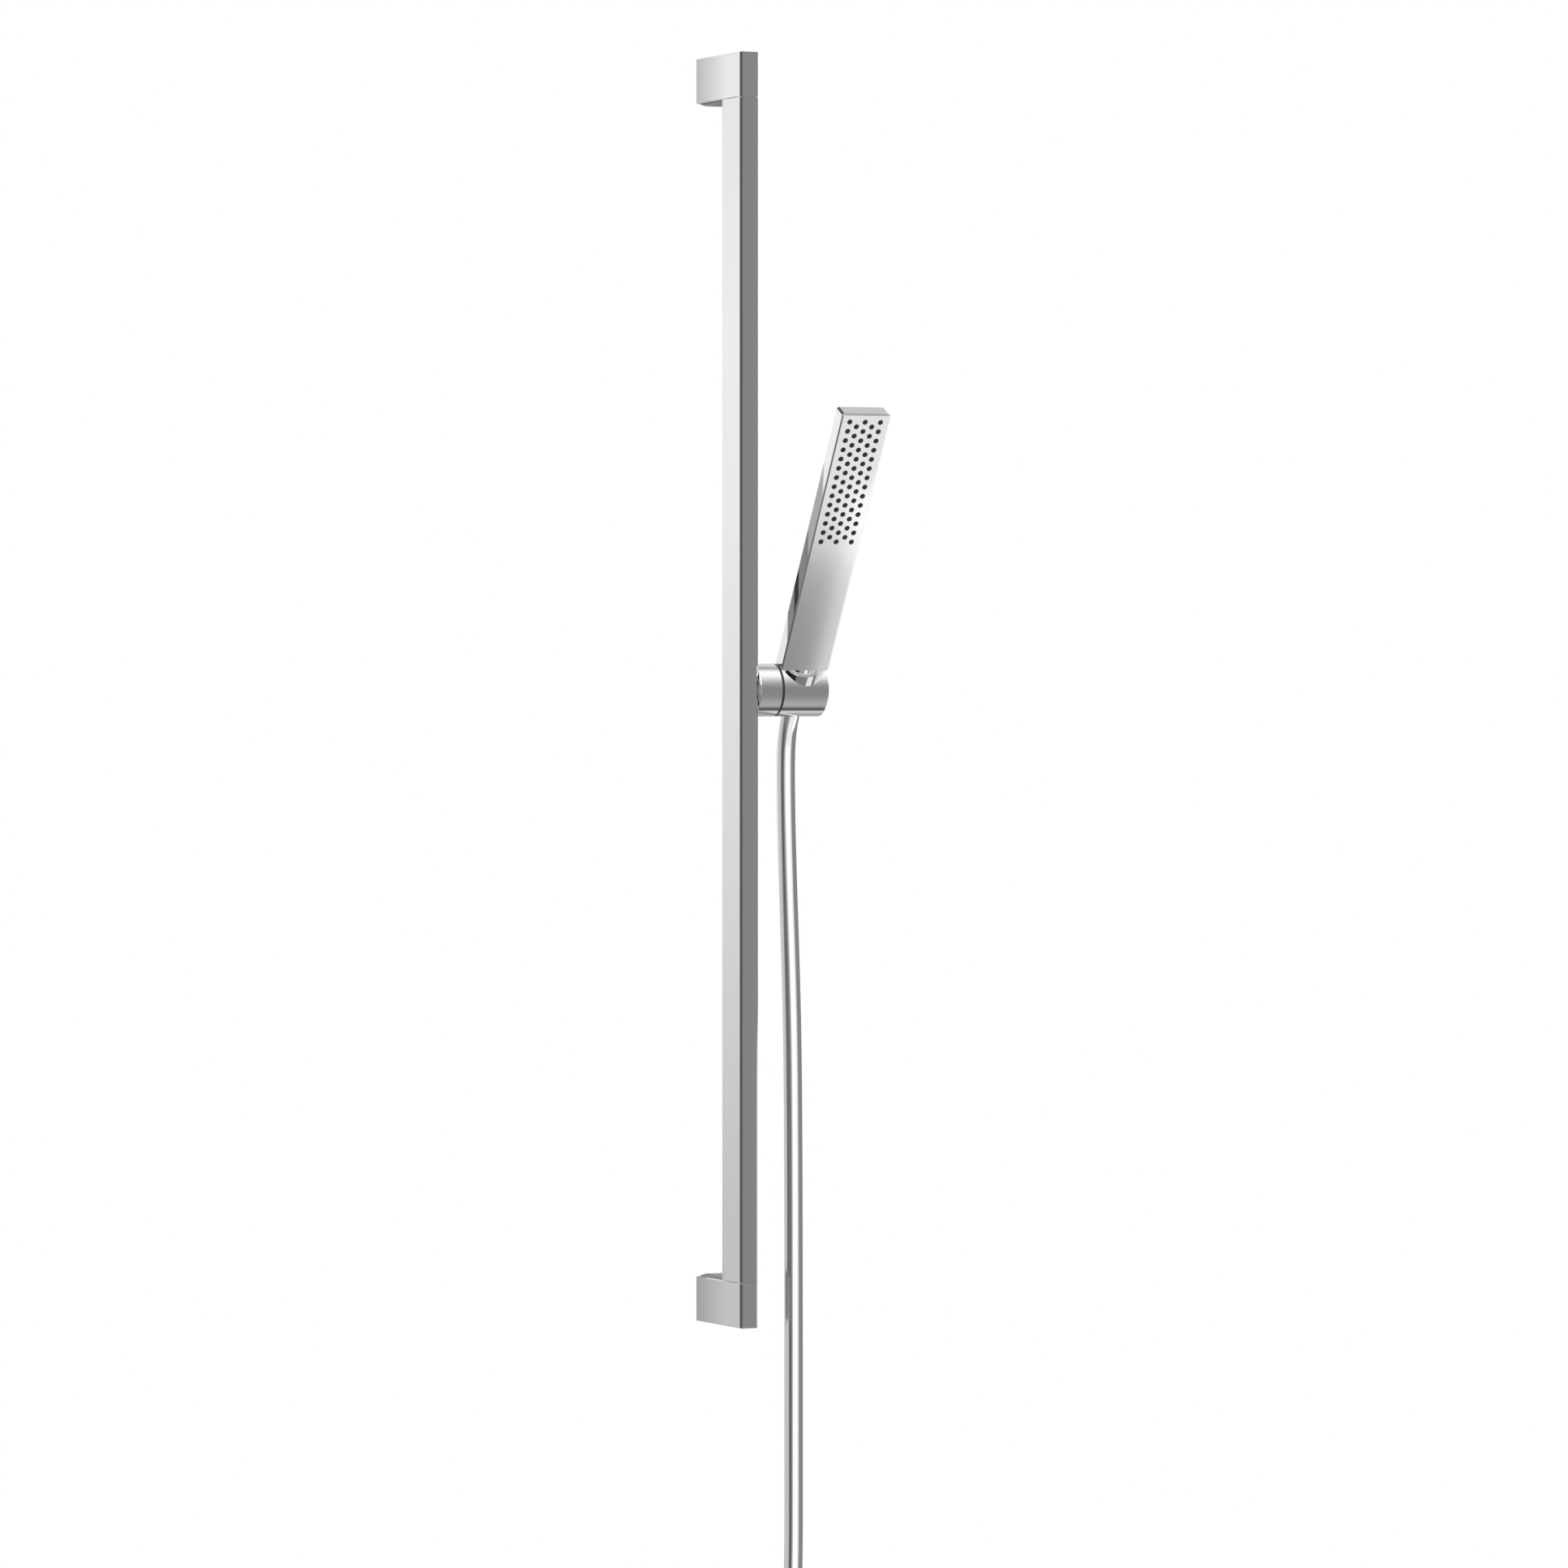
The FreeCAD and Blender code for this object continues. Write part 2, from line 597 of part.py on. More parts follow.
# Drum: the chromed cup between rail and holder, open towards the rail.
drum = new_body("slider_drum")
turned(drum, "Revolution", [
    (DRUM_X, CUP),
    (DRUM_X, "drum_radius - drum_chamfer"),
    (DRUM_X + " + drum_chamfer", "drum_radius"),
    (DRUM_END, "drum_radius"),
    (DRUM_END, "tilt_screw_radius + shaft_play"),
    (DRUM_INSIDE, "tilt_screw_radius + shaft_play"),
    (DRUM_INSIDE, CUP + " - drum_ledge"),
    (CARRIER_END + " + shaft_play", CUP + " - drum_ledge"),
    (CARRIER_END + " + shaft_play", CUP),
    (CLIP_END + " + shaft_play", CUP),
    (CLIP_END + " + shaft_play", CUP + " + clip_depth"),
    (CLIP_X + " - shaft_play", CUP + " + clip_depth"),
    (CLIP_X + " - shaft_play", CUP),
])
place(drum, y=RAIL_Y)

# Retaining clip: a C-shaped steel ring in the drum's groove, which keeps the carrier in.
clip = new_body("retaining_clip")
turned(clip, "Revolution", [
    (CLIP_X, CUP + " - clip_inside"),
    (CLIP_X, CUP + " + clip_depth - clip_play"),
    (CLIP_END, CUP + " + clip_depth - clip_play"),
    (CLIP_END, CUP + " - clip_inside"),
], angle=320.0)
place(clip, y=RAIL_Y)

# Tilt bearing: a dark plastic ring between drum and holder, a friction disc and a spring washer
# inside the drum, and the screw that clamps them and turns with the holder.
bearing = new_body("joint_ring")
turned(bearing, "Revolution", [
    (DRUM_END, "ring_bore"),
    (DRUM_END, "drum_radius - ring_inset"),
    (DRUM_END + " + ring_thickness", "drum_radius - ring_inset"),
    (DRUM_END + " + ring_thickness", "ring_bore"),
])
place(bearing, y=RAIL_Y)

disc = new_body("friction_disc")
turned(disc, "Revolution", [
    (DRUM_INSIDE + " - friction_disc_thickness", "tilt_screw_radius + runner_play"),
    (DRUM_INSIDE + " - friction_disc_thickness", "friction_disc_radius"),
    (DRUM_INSIDE, "friction_disc_radius"),
    (DRUM_INSIDE, "tilt_screw_radius + runner_play"),
])
place(disc, y=RAIL_Y)

WASHER_X = "(" + DRUM_INSIDE + " - friction_disc_thickness - wave_washer_height)"
washer = new_body("spring_washer")
turned(washer, "Revolution", [
    (WASHER_X, "tilt_screw_radius + runner_play"),
    (WASHER_X + " + wave_washer_height / 2", "wave_washer_radius"),
    (WASHER_X + " + wave_washer_height", "wave_washer_radius"),
    (WASHER_X + " + wave_washer_height / 2", "tilt_screw_radius + runner_play"),
])
place(washer, y=RAIL_Y)

HEAD_FACE = "(" + WASHER_X + " - shaft_play)"
HEAD_END = "(" + HEAD_FACE + " - tilt_screw_head_height)"
KEY_HALF = "(tilt_key_radius / 2)"
KEY_FLAT = "(tilt_key_radius * sqrt(3) / 2)"
tilt_screw = new_body("tilt_screw")
turned(tilt_screw, "Revolution", [
    (HEAD_END, "0"),
    (HEAD_END, "tilt_screw_head - tilt_screw_chamfer"),
    (HEAD_END + " + tilt_screw_chamfer", "tilt_screw_head"),
    (HEAD_FACE, "tilt_screw_head"),
    (HEAD_FACE, "tilt_screw_radius"),
    (HOLDER_X + " + tilt_screw_grip", "tilt_screw_radius"),
    (HOLDER_X + " + tilt_screw_grip", "0"),
])
key = new_sketch(tilt_screw, "YZ", HEAD_END)
add_outline(key, [
    ("tilt_key_radius", "0"),
    (KEY_HALF, KEY_FLAT),
    ("-" + KEY_HALF, KEY_FLAT),
    ("-tilt_key_radius", "0"),
    ("-" + KEY_HALF, "-" + KEY_FLAT),
    (KEY_HALF, "-" + KEY_FLAT),
])
pocket(tilt_screw, key, "tilt_key_depth", backward=True)
place(tilt_screw, y=RAIL_Y)

# Everything that tilts is described about the conical bore's axis: local Z runs up the bore and
# the hand shower, local -Y is the front.
BORE_X = "(" + HOLDER_X + " + bore_place)"
TILT = Rotation(Vector(1, 0, 0), size("rest_tilt"))


def place_tilted(item):
    place(item, x=BORE_X, y=RAIL_Y, turn=TILT)


def nut_radius(height):
    """The conical nut's radius at a height along the bore."""
    taper = "(nut_top_radius - nut_bottom_radius) / (nut_top + nut_bottom)"
    return "(nut_bottom_radius + (" + height + " + nut_bottom) * " + taper + ")"


LINER_LOW = "(" + nut_radius("-liner_bottom") + " + nut_seat_gap)"
LINER_HIGH = "(" + nut_radius("liner_top") + " + nut_seat_gap)"
FLARE_START = "(" + LINER_HIGH + " + liner_wall + liner_gap + flare_step)"
FLARE_SLOPE = "((flare_radius - " + FLARE_START + ") / (drum_radius - liner_top))"
BORE_LIP = "(" + LINER_LOW + " + 2 * liner_gap)"

# Holder: a chromed block turned to the drum's radius, with the flared conical bore through it and
# a slot behind the bore for the hose.
holder = new_body("holder")
turned(holder, "Revolution", [
    ("-bore_place", "0"),
    ("-bore_place", "drum_radius"),
    ("holder_length - bore_place", "drum_radius"),
    ("holder_length - bore_place", "0"),
])
dress(holder, "Fillet", "holder_end_round", lambda edge: isinstance(edge.Curve, Part.Circle)
      and near(middle_of(edge).x, "holder_length - bore_place"))
turned(holder, "Groove", [
    ("0", "-drum_radius - overrun"),
    (BORE_LIP, "-drum_radius - overrun"),
    (BORE_LIP, "-liner_bottom"),
    (LINER_LOW + " + liner_wall + liner_gap", "-liner_bottom"),
    (LINER_HIGH + " + liner_wall + liner_gap", "liner_top"),
    (FLARE_START, "liner_top"),
    ("flare_radius + overrun * " + FLARE_SLOPE, "drum_radius + overrun"),
    ("0", "drum_radius + overrun"),
], axis="V_Axis")
gap = new_sketch(holder, "XY")
add_rectangle(gap, "-hose_slot / 2", "hose_slot / 2", "0", "drum_radius + overrun")
pocket(holder, gap, "2 * drum_radius + 2 * overrun", middle=True)
turned(holder, "Groove", [
    ("-bore_place - overrun", "0"),
    ("-bore_place - overrun", "tilt_screw_radius + shaft_play"),
    ("tilt_screw_grip + face_gap - bore_place", "tilt_screw_radius + shaft_play"),
    ("tilt_screw_grip + face_gap - bore_place", "0"),
])
place_tilted(holder)

# Liner: a moulded sleeve in the bore that the conical nut wedges into.
liner = new_body("holder_liner")
turned(liner, "Revolution", [
    (LINER_LOW, "-liner_bottom"),
    (LINER_LOW + " + liner_wall", "-liner_bottom"),
    (LINER_HIGH + " + liner_wall", "liner_top"),
    (LINER_HIGH, "liner_top"),
], axis="V_Axis")
gap = new_sketch(liner, "XY")
add_rectangle(gap, "-hose_slot / 2", "hose_slot / 2", "0", "drum_radius + overrun")
pocket(liner, gap, "2 * drum_radius + 2 * overrun", middle=True)
place_tilted(liner)

# Conical nut: joins the hose to the hand shower and hangs them both in the holder.
THREAD_FLOOR = "(nut_top - nut_thread_depth)"
FLANGE_TOP = "(" + THREAD_FLOOR + " + face_gap + sleeve_flange)"
INLET_START = "(" + FLANGE_TOP + " + gasket_thickness + face_gap)"
INLET_END = "(" + INLET_START + " + thread_length)"
nut = new_body("cone_nut")
turned(nut, "Revolution", [
    ("sleeve_radius + sleeve_play", "-nut_bottom"),
    ("nut_bottom_radius - nut_chamfer", "-nut_bottom"),
    ("nut_bottom_radius", "nut_chamfer - nut_bottom"),
    ("nut_top_radius", "nut_top - nut_chamfer"),
    ("nut_top_radius - nut_chamfer", "nut_top"),
    ("thread_radius + thread_play", "nut_top"),
    ("thread_radius + thread_play", THREAD_FLOOR),
    ("sleeve_radius + sleeve_play", THREAD_FLOOR),
], axis="V_Axis")
place_tilted(nut)

# Hose end sleeve: a flanged brass tail that the hose is crimped on.
SLEEVE_END = "(" + THREAD_FLOOR + " + face_gap - sleeve_length)"
sleeve = new_body("hose_top_sleeve")
turned(sleeve, "Revolution", [
    ("hose_bore", SLEEVE_END),
    ("sleeve_radius", SLEEVE_END),
    ("sleeve_radius", THREAD_FLOOR + " + face_gap"),
    ("thread_radius - flange_play", THREAD_FLOOR + " + face_gap"),
    ("thread_radius - flange_play", FLANGE_TOP),
    ("hose_bore", FLANGE_TOP),
], axis="V_Axis")
place_tilted(sleeve)

gasket = new_body("hose_top_gasket")
turned(gasket, "Revolution", [
    ("hose_bore + gasket_set_back", FLANGE_TOP),
    ("thread_radius - gasket_play", FLANGE_TOP),
    ("thread_radius - gasket_play", FLANGE_TOP + " + gasket_thickness"),
    ("hose_bore + gasket_set_back", FLANGE_TOP + " + gasket_thickness"),
], axis="V_Axis")
place_tilted(gasket)

# Hand shower inlet: the threaded tail that carries the water from the nut into the body.
inlet = new_body("handset_inlet")
turned(inlet, "Revolution", [
    ("filter_radius + face_gap", INLET_START),
    ("thread_radius", INLET_START),
    ("thread_radius", INLET_END),
    ("inlet_collar_radius", INLET_END),
    ("inlet_collar_radius", "handset_bottom"),
    ("inlet_neck_radius", "handset_bottom"),
    ("inlet_neck_radius", "inlet_neck_top"),
    ("inlet_bore", "inlet_neck_top"),
    ("inlet_bore", INLET_START + " + filter_thickness + face_gap"),
    ("filter_radius + face_gap", INLET_START + " + filter_thickness + face_gap"),
], axis="V_Axis")
place_tilted(inlet)

sieve = new_body("inlet_filter")
turned(sieve, "Revolution", [
    ("0", INLET_START + " + filter_dish"),
    ("filter_radius - filter_rim", INLET_START + " + filter_dish"),
    ("filter_radius - filter_rim", INLET_START + " + face_gap"),
    ("filter_radius", INLET_START + " + face_gap"),
    ("filter_radius", INLET_START + " + filter_thickness"),
    ("0", INLET_START + " + filter_thickness"),
], axis="V_Axis")
place_tilted(sieve)

# Hand shower body: a flat chromed bar, open at the front, with a spray face over it.
HALF_WIDTH = "(handset_width / 2)"
FRONT = "(handset_thickness / 2)"
FACE_BACK = "(" + FRONT + " - face_thickness)"
MAT_BACK = "(" + FACE_BACK + " - mat_thickness)"


def corner_edge(edge):
    """The four edges of the flat bar that run from front to back."""
    return line_along(edge, 1) and near(abs(middle_of(edge).x), HALF_WIDTH)


shell = new_body("handset_body")
bar = new_sketch(shell, "XY", "handset_bottom")
add_rectangle(bar, "-" + HALF_WIDTH, HALF_WIDTH, "-" + FACE_BACK, FRONT)
pad(shell, bar, "handset_top - handset_bottom")
dress(shell, "Fillet", "handset_corner", corner_edge)
dress(shell, "Fillet", "handset_edge", lambda edge: near(edge.BoundBox.YMin, FRONT))
inside = new_sketch(shell, "XZ", FACE_BACK)
add_rectangle(inside, "handset_wall - " + HALF_WIDTH, HALF_WIDTH + " - handset_wall",
              "handset_bottom + handset_floor", "handset_top - handset_wall")
pocket(shell, inside, "handset_thickness - face_thickness - handset_wall")
entry = new_sketch(shell, "XY", "handset_bottom")
add_circle(entry, "0", "0", "inlet_neck_radius + face_gap")
pocket(shell, entry, "handset_floor + overrun", backward=True)
place_tilted(shell)


def nozzle_rows(body, kind, radius, offset, length):
    """Rows of three nozzles, with rows of two between them, repeated down the spray face."""
    for columns, drop, spare in ((("-nozzle_column", "0", "nozzle_column"), "0", "0"),
                                 (("-nozzle_column / 2", "nozzle_column / 2"), "nozzle_row / 2", "1")):
        row = new_sketch(body, "XZ", offset)
        for column in columns:
            add_circle(row, column, "nozzle_top - " + drop, radius)
        first = kind(body, row, length)
        pattern = body.newObject("PartDesign::LinearPattern", body.Label + "_rows")
        pattern.Originals = [first]
        pattern.Direction = (row, ["V_Axis"])
        pattern.Reversed = True
        bind(pattern, "Occurrences", "nozzle_row_count - " + spare)
        bind(pattern, "Length", "(nozzle_row_count - 1 - " + spare + ") * nozzle_row")
        body.Tip = pattern
        check(pattern)


face = new_body("spray_face")
front = new_sketch(face, "XZ", FACE_BACK)
add_rectangle(front, "-" + HALF_WIDTH, HALF_WIDTH, "handset_bottom", "handset_top")
pad(face, front, "face_thickness")
dress(face, "Fillet", "handset_corner", corner_edge)
dress(face, "Fillet", "handset_edge", lambda edge: near(edge.BoundBox.YMax, "-" + FRONT))
nozzle_rows(face, pocket, "nozzle_radius + nozzle_play", FRONT, "face_thickness + overrun")
place_tilted(face)

# Nozzle mat: one silicone moulding whose nozzles stand through the holes of the spray face.
FIELD_BOTTOM = "(nozzle_top - (nozzle_row_count - 1) * nozzle_row)"
mat = new_body("nozzle_mat")
sheet_outline = new_sketch(mat, "XZ", MAT_BACK)
add_rectangle(sheet_outline, "-nozzle_column - mat_margin", "nozzle_column + mat_margin",
              FIELD_BOTTOM + " - mat_margin", "nozzle_top + mat_margin")
pad(mat, sheet_outline, "mat_thickness")
nozzle_rows(mat, pad, "nozzle_radius", MAT_BACK, "mat_thickness + face_thickness + nozzle_proud")
place_tilted(mat)

# Water tray: carries the water up the hand shower and spreads it behind the nozzle mat.
TRAY_HALF = "(" + HALF_WIDTH + " - handset_wall - tray_gap)"
TRAY_BACK = "(" + FRONT + " - handset_wall - tray_gap)"
BASIN_LOW = "(" + FIELD_BOTTOM + " - mat_margin + tray_wall)"
tray = new_body("water_tray")
block = new_sketch(tray, "XY", "inlet_neck_top + face_gap")
add_rectangle(block, "-" + TRAY_HALF, TRAY_HALF, "-" + MAT_BACK, TRAY_BACK)
pad(tray, block, "handset_top - handset_wall - tray_gap - inlet_neck_top - face_gap")
basin = new_sketch(tray, "XZ", MAT_BACK)
add_rectangle(basin, "tray_wall - nozzle_column - mat_margin", "nozzle_column + mat_margin - tray_wall",
              BASIN_LOW, "nozzle_top + mat_margin - tray_wall")
pocket(tray, basin, MAT_BACK + " + " + TRAY_BACK + " - tray_wall")
duct = new_sketch(tray, "XY", "inlet_neck_top + face_gap")
add_circle(duct, "0", "0", "duct_radius")
pocket(tray, duct, BASIN_LOW + " + overrun - inlet_neck_top", backward=True)
place_tilted(tray)

# Hose: hangs from the conical nut in one plane, veers aside under the rail and ends in a tied
# coil that hangs beside it. Its corners below are (Y, Z) in the plane of the bore.
HOSE_RADIUS = "(hose_diameter / 2)"
HOSE_CORNERS = [(-47.4, -32.1), (-45.0, -45.9), (-44.6, -66.0), (-45.6, -100.0), (-48.8, -150.0),
                (-53.2, -205.0), (-56.6, -262.0), (-58.1, -330.0), (-58.8, -430.0), (-58.9, -560.0)]
HOSE_VEER_Z = -683.0
VEER = math.radians(15.0)
VEER_RUN = 22.0
EXIT_RUN = 12.0
RUN_SHARE = 0.45


def bore_point(height):
    """The place of a point on the bore's axis."""
    base = Vector(size(BORE_X), size(RAIL_Y), 0)
    return base + TILT.multVec(Vector(0, 0, size(height)))


exit_point = bore_point(SLEEVE_END)
exit_way = TILT.multVec(Vector(0, 0, -1))
corners = [exit_point, exit_point + exit_way * EXIT_RUN]
corners += [Vector(size(BORE_X), y, z) for y, z in HOSE_CORNERS]
corners.append(Vector(size(BORE_X), corners[-1].y, HOSE_VEER_Z))
for turn in (VEER, 2 * VEER):
    corners.append(corners[-1] + Vector(-math.sin(turn), 0, -math.cos(turn)) * VEER_RUN)


def rounded_route(corners):
    """Straight runs joined by tangent arcs that use the same share of the shorter run."""
    edges = []
    start = corners[0]
    for before, corner, after in zip(corners, corners[1:], corners[2:]):
        arrive = (corner - before).normalize()
        leave = (after - corner).normalize()
        half = arrive.getAngle(leave) / 2
        reach = RUN_SHARE * min((corner - before).Length, (after - corner).Length)
        radius = reach / math.tan(half)
        print("bend radius at z %.0f: %.0f mm" % (corner.z, radius))
        sag = radius / math.cos(half) - radius
        arc = Part.Arc(corner - arrive * reach, corner + (leave - arrive).normalize() * sag,
                       corner + leave * reach)
        edges.append(Part.LineSegment(start, corner - arrive * reach).toShape())
        edges.append(arc.toShape())
        start = corner + leave * reach
    edges.append(Part.LineSegment(start, corners[-1]).toShape())
    return Part.Wire(edges)


route = doc.addObject("Part::Feature", "hose_route")
route.Shape = rounded_route(corners)
section = doc.addObject("Part::Circle", "hose_section")
bind(section, "Radius", HOSE_RADIUS)
section.Placement = Placement(exit_point, Rotation(Vector(0, 0, 1), exit_way))
tube = doc.addObject("Part::Sweep", "hose_tube")
tube.Sections = [section]
tube.Spine = (route, ["Edge%d" % (n + 1) for n in range(len(route.Shape.Edges))])
tube.Solid = True
check(tube)
place(tube)
tube_length = route.Shape.Length
wanted = math.pi * size(HOSE_RADIUS) ** 2 * tube_length
if abs(tube.Shape.Volume - wanted) > 0.005 * wanted:
    raise RuntimeError("the hose tube is not its section times its length")
print("hose tube %.1f mm, volume %.0f of %.0f mm3" % (tube_length, tube.Shape.Volume, wanted))

# Coil: one closed solid round the turns of the tied hose, with its free end standing off. It is
# described in its own frame: local X to the right, local Y up, local Z out from the wall. Each turn
# lies one spacing further out than the last, and moves out over a short stretch before it crosses.
COIL_START = 180.0 - math.degrees(2 * VEER)
CHANGE_AT = 240.0
CHANGE_SPAN = 60.0
FULL_TURN = 360.0
coil_length = size("hose_flexible_length - coil_tail") - tube_length
COIL_TURN = math.degrees(coil_length / size("coil_radius"))
COIL_END = COIL_START + COIL_TURN
to_start = Rotation(Vector(0, -1, 0), COIL_START).multVec(Vector(size("coil_radius"), 0, 0))
COIL_CENTRE = corners[-1] - to_start
FLAT = Rotation(Vector(1, 0, 0), 90)


def spacings_out(turned):
    """How many spacings out the hose lies once it has turned this many degrees."""
    whole, rest = divmod(turned, FULL_TURN)
    return whole + min(max((rest - CHANGE_AT) / CHANGE_SPAN, 0.0), 1.0)


def taken_at(turned):
    """The lowest and highest place, in spacings, that the turns take up at an angle."""
    places = []
    while turned < COIL_TURN:
        places += [math.floor(spacings_out(turned)), math.ceil(spacings_out(turned))]
        turned += FULL_TURN
    return min(places), max(places)


def ring_sketch(body, angle, low, high, margin="0"):
    """The section of the turns at an angle round the coil."""
    sketch = new_sketch(body, "XZ")
    sketch.AttachmentOffset = Placement(Vector(), Rotation(Vector(0, 1, 0), angle))
    radius = HOSE_RADIUS + " + " + margin
    if low == high:
        add_circle(sketch, "coil_radius", "%g * coil_spacing" % low, radius)
    else:
        add_slot(sketch, "coil_radius", "%d * coil_spacing" % low, "%d * coil_spacing" % high, radius)
    return sketch


def ring(body, kind, sketch, angle):
    """A section carried round the coil's axis, added or cut."""
    feature = body.newObject("PartDesign::" + kind, body.Label + "_ring")
    feature.Profile = sketch
    feature.ReferenceAxis = (sketch, ["V_Axis"])
    feature.Angle = angle
    feature.Midplane = True
    check(feature)


def add_slot(sketch, x, low, high, radius):
    """An upright slot: two half circles joined by straight sides."""
    first = sketch.GeometryCount
    for y, start in ((low, 180.0), (high, 0.0)):
        circle = Part.Circle(Vector(size(x), size(y), 0), Vector(0, 0, 1), size(radius))
        begin = math.radians(start)
        sketch.addGeometry(Part.ArcOfCircle(circle, begin, begin + math.pi), False)
    for side in (1, -1):
        across = size(x) + side * size(radius)
        ends = [Vector(across, size(low), 0), Vector(across, size(high), 0)]
        sketch.addGeometry(Part.LineSegment(*ends[::side]), False)
    for index in range(4):
        order = (first, first + 2, first + 1, first + 3)
        sketch.addConstraint(Sketcher.Constraint("Tangent", order[index], 2, order[(index + 1) % 4], 1))
    fix_point(sketch, first, 3, x, low)
    fix_point(sketch, first + 1, 3, x, high)
    round_end = sketch.addConstraint(Sketcher.Constraint("Radius", first, size(radius)))
    bind(sketch, "Constraints[%d]" % round_end, radius)


def place_in_coil(item):
    item.Placement = Placement(COIL_CENTRE, FLAT)
    parts.append(item)


coil = new_body("hose_coil")
stops = sorted({0.0, CHANGE_AT, CHANGE_AT + CHANGE_SPAN, COIL_TURN % FULL_TURN, FULL_TURN})
for start, stop in zip(stops, stops[1:]):
    halfway = (start + stop) / 2
    ring(coil, "Revolution", ring_sketch(coil, COIL_START + halfway, *taken_at(halfway)), stop - start)
END_OUT = spacings_out(COIL_TURN)
tail = pad(coil, ring_sketch(coil, COIL_END, END_OUT, END_OUT), "coil_tail")
tail.Reversed = True
check(tail)
place_in_coil(coil)
print("coil %.1f mm, turned %.2f degrees" % (coil_length, COIL_TURN))

# Tie: a rubber band round the turns, opposite the free end.
tie = new_body("hose_tie")
TIE_AT = 180.0
TIE_ANGLE = math.degrees(size("tie_width / coil_radius"))
for kind, margin, angle in (("Revolution", "tie_play + tie_thickness", TIE_ANGLE),
                            ("Groove", "tie_play", 2 * TIE_ANGLE)):
    ring(tie, kind, ring_sketch(tie, TIE_AT, *taken_at(TIE_AT - COIL_START), margin), angle)
place_in_coil(tie)

# Supply end: a flanged sleeve crimped into the hose, a gasket and a fluted union nut for the
# wall outlet. Local Z points out of the hose.
end_way = Rotation(Vector(0, -1, 0), COIL_END)
end_place = Vector(size("coil_radius"), -size("coil_spacing") * END_OUT, size("coil_tail"))
SUPPLY = Placement(COIL_CENTRE + end_way.multVec(end_place), end_way)
SUPPLY_FLOOR = "(supply_sleeve_length - sleeve_flange - face_gap)"
SUPPLY_THREAD = "(supply_sleeve_length + gasket_thickness + 3 * face_gap)"
SUPPLY_MOUTH = "(" + SUPPLY_THREAD + " + supply_thread_length)"
SUPPLY_BACK = "(" + SUPPLY_MOUTH + " - supply_nut_length)"


def place_at_supply(item):
    item.Placement = SUPPLY
    parts.append(item)


sleeve = new_body("hose_supply_sleeve")
turned(sleeve, "Revolution", [
    ("hose_bore", "0"),
    ("sleeve_radius", "0"),
    ("sleeve_radius", "supply_sleeve_length - sleeve_flange"),
    ("supply_thread_radius - flange_play", "supply_sleeve_length - sleeve_flange"),
    ("supply_thread_radius - flange_play", "supply_sleeve_length"),
    ("hose_bore", "supply_sleeve_length"),
], axis="V_Axis")
place_at_supply(sleeve)

gasket = new_body("hose_supply_gasket")
turned(gasket, "Revolution", [
    ("hose_bore + gasket_set_back", "supply_sleeve_length"),
    ("supply_thread_radius - gasket_play", "supply_sleeve_length"),
    ("supply_thread_radius - gasket_play", "supply_sleeve_length + gasket_thickness"),
    ("hose_bore + gasket_set_back", "supply_sleeve_length + gasket_thickness"),
], axis="V_Axis")
place_at_supply(gasket)

nut = new_body("hose_supply_nut")
turned(nut, "Revolution", [
    ("sleeve_radius + sleeve_play", SUPPLY_BACK),
    ("supply_nut_radius - supply_back_chamfer", SUPPLY_BACK),
    ("supply_nut_radius", SUPPLY_BACK + " + supply_back_chamfer"),
    ("supply_nut_radius", SUPPLY_MOUTH + " - supply_mouth_chamfer"),
    ("supply_nut_radius - supply_mouth_chamfer", SUPPLY_MOUTH),
    ("supply_thread_radius", SUPPLY_MOUTH),
    ("supply_thread_radius", SUPPLY_THREAD),
    ("supply_thread_radius + supply_relief", SUPPLY_THREAD),
    ("supply_thread_radius + supply_relief", SUPPLY_FLOOR),
    ("sleeve_radius + sleeve_play", SUPPLY_FLOOR),
], axis="V_Axis")
flute = new_sketch(nut, "XY", SUPPLY_MOUTH)
add_circle(flute, "supply_nut_radius + flute_radius / 2", "0", "flute_radius")
first = pocket(nut, flute, "supply_nut_length - flute_stop")
pattern = nut.newObject("PartDesign::PolarPattern", "supply_nut_flutes")
pattern.Originals = [first]
pattern.Axis = (flute, ["N_Axis"])
bind(pattern, "Occurrences", "flutes")
nut.Tip = pattern
check(pattern)
place_at_supply(nut)

# Write each sub-part to its own file, once every one of them is sound.
doc.recompute()
for item in doc.Objects:
    if "Invalid" in item.State or "Error" in item.State:
        raise RuntimeError("%s failed" % item.Label)
for item in parts:
    if item.Shape.isNull() or not item.Shape.isValid():
        raise RuntimeError("%s has no sound shape" % item.Label)
os.makedirs("parts", exist_ok=True)
for item in parts:
    item.Shape.exportStep(os.path.join("parts", item.Label + ".step"))
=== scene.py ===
import bmesh
import bpy
import json
import math
from mathutils import Matrix, Vector


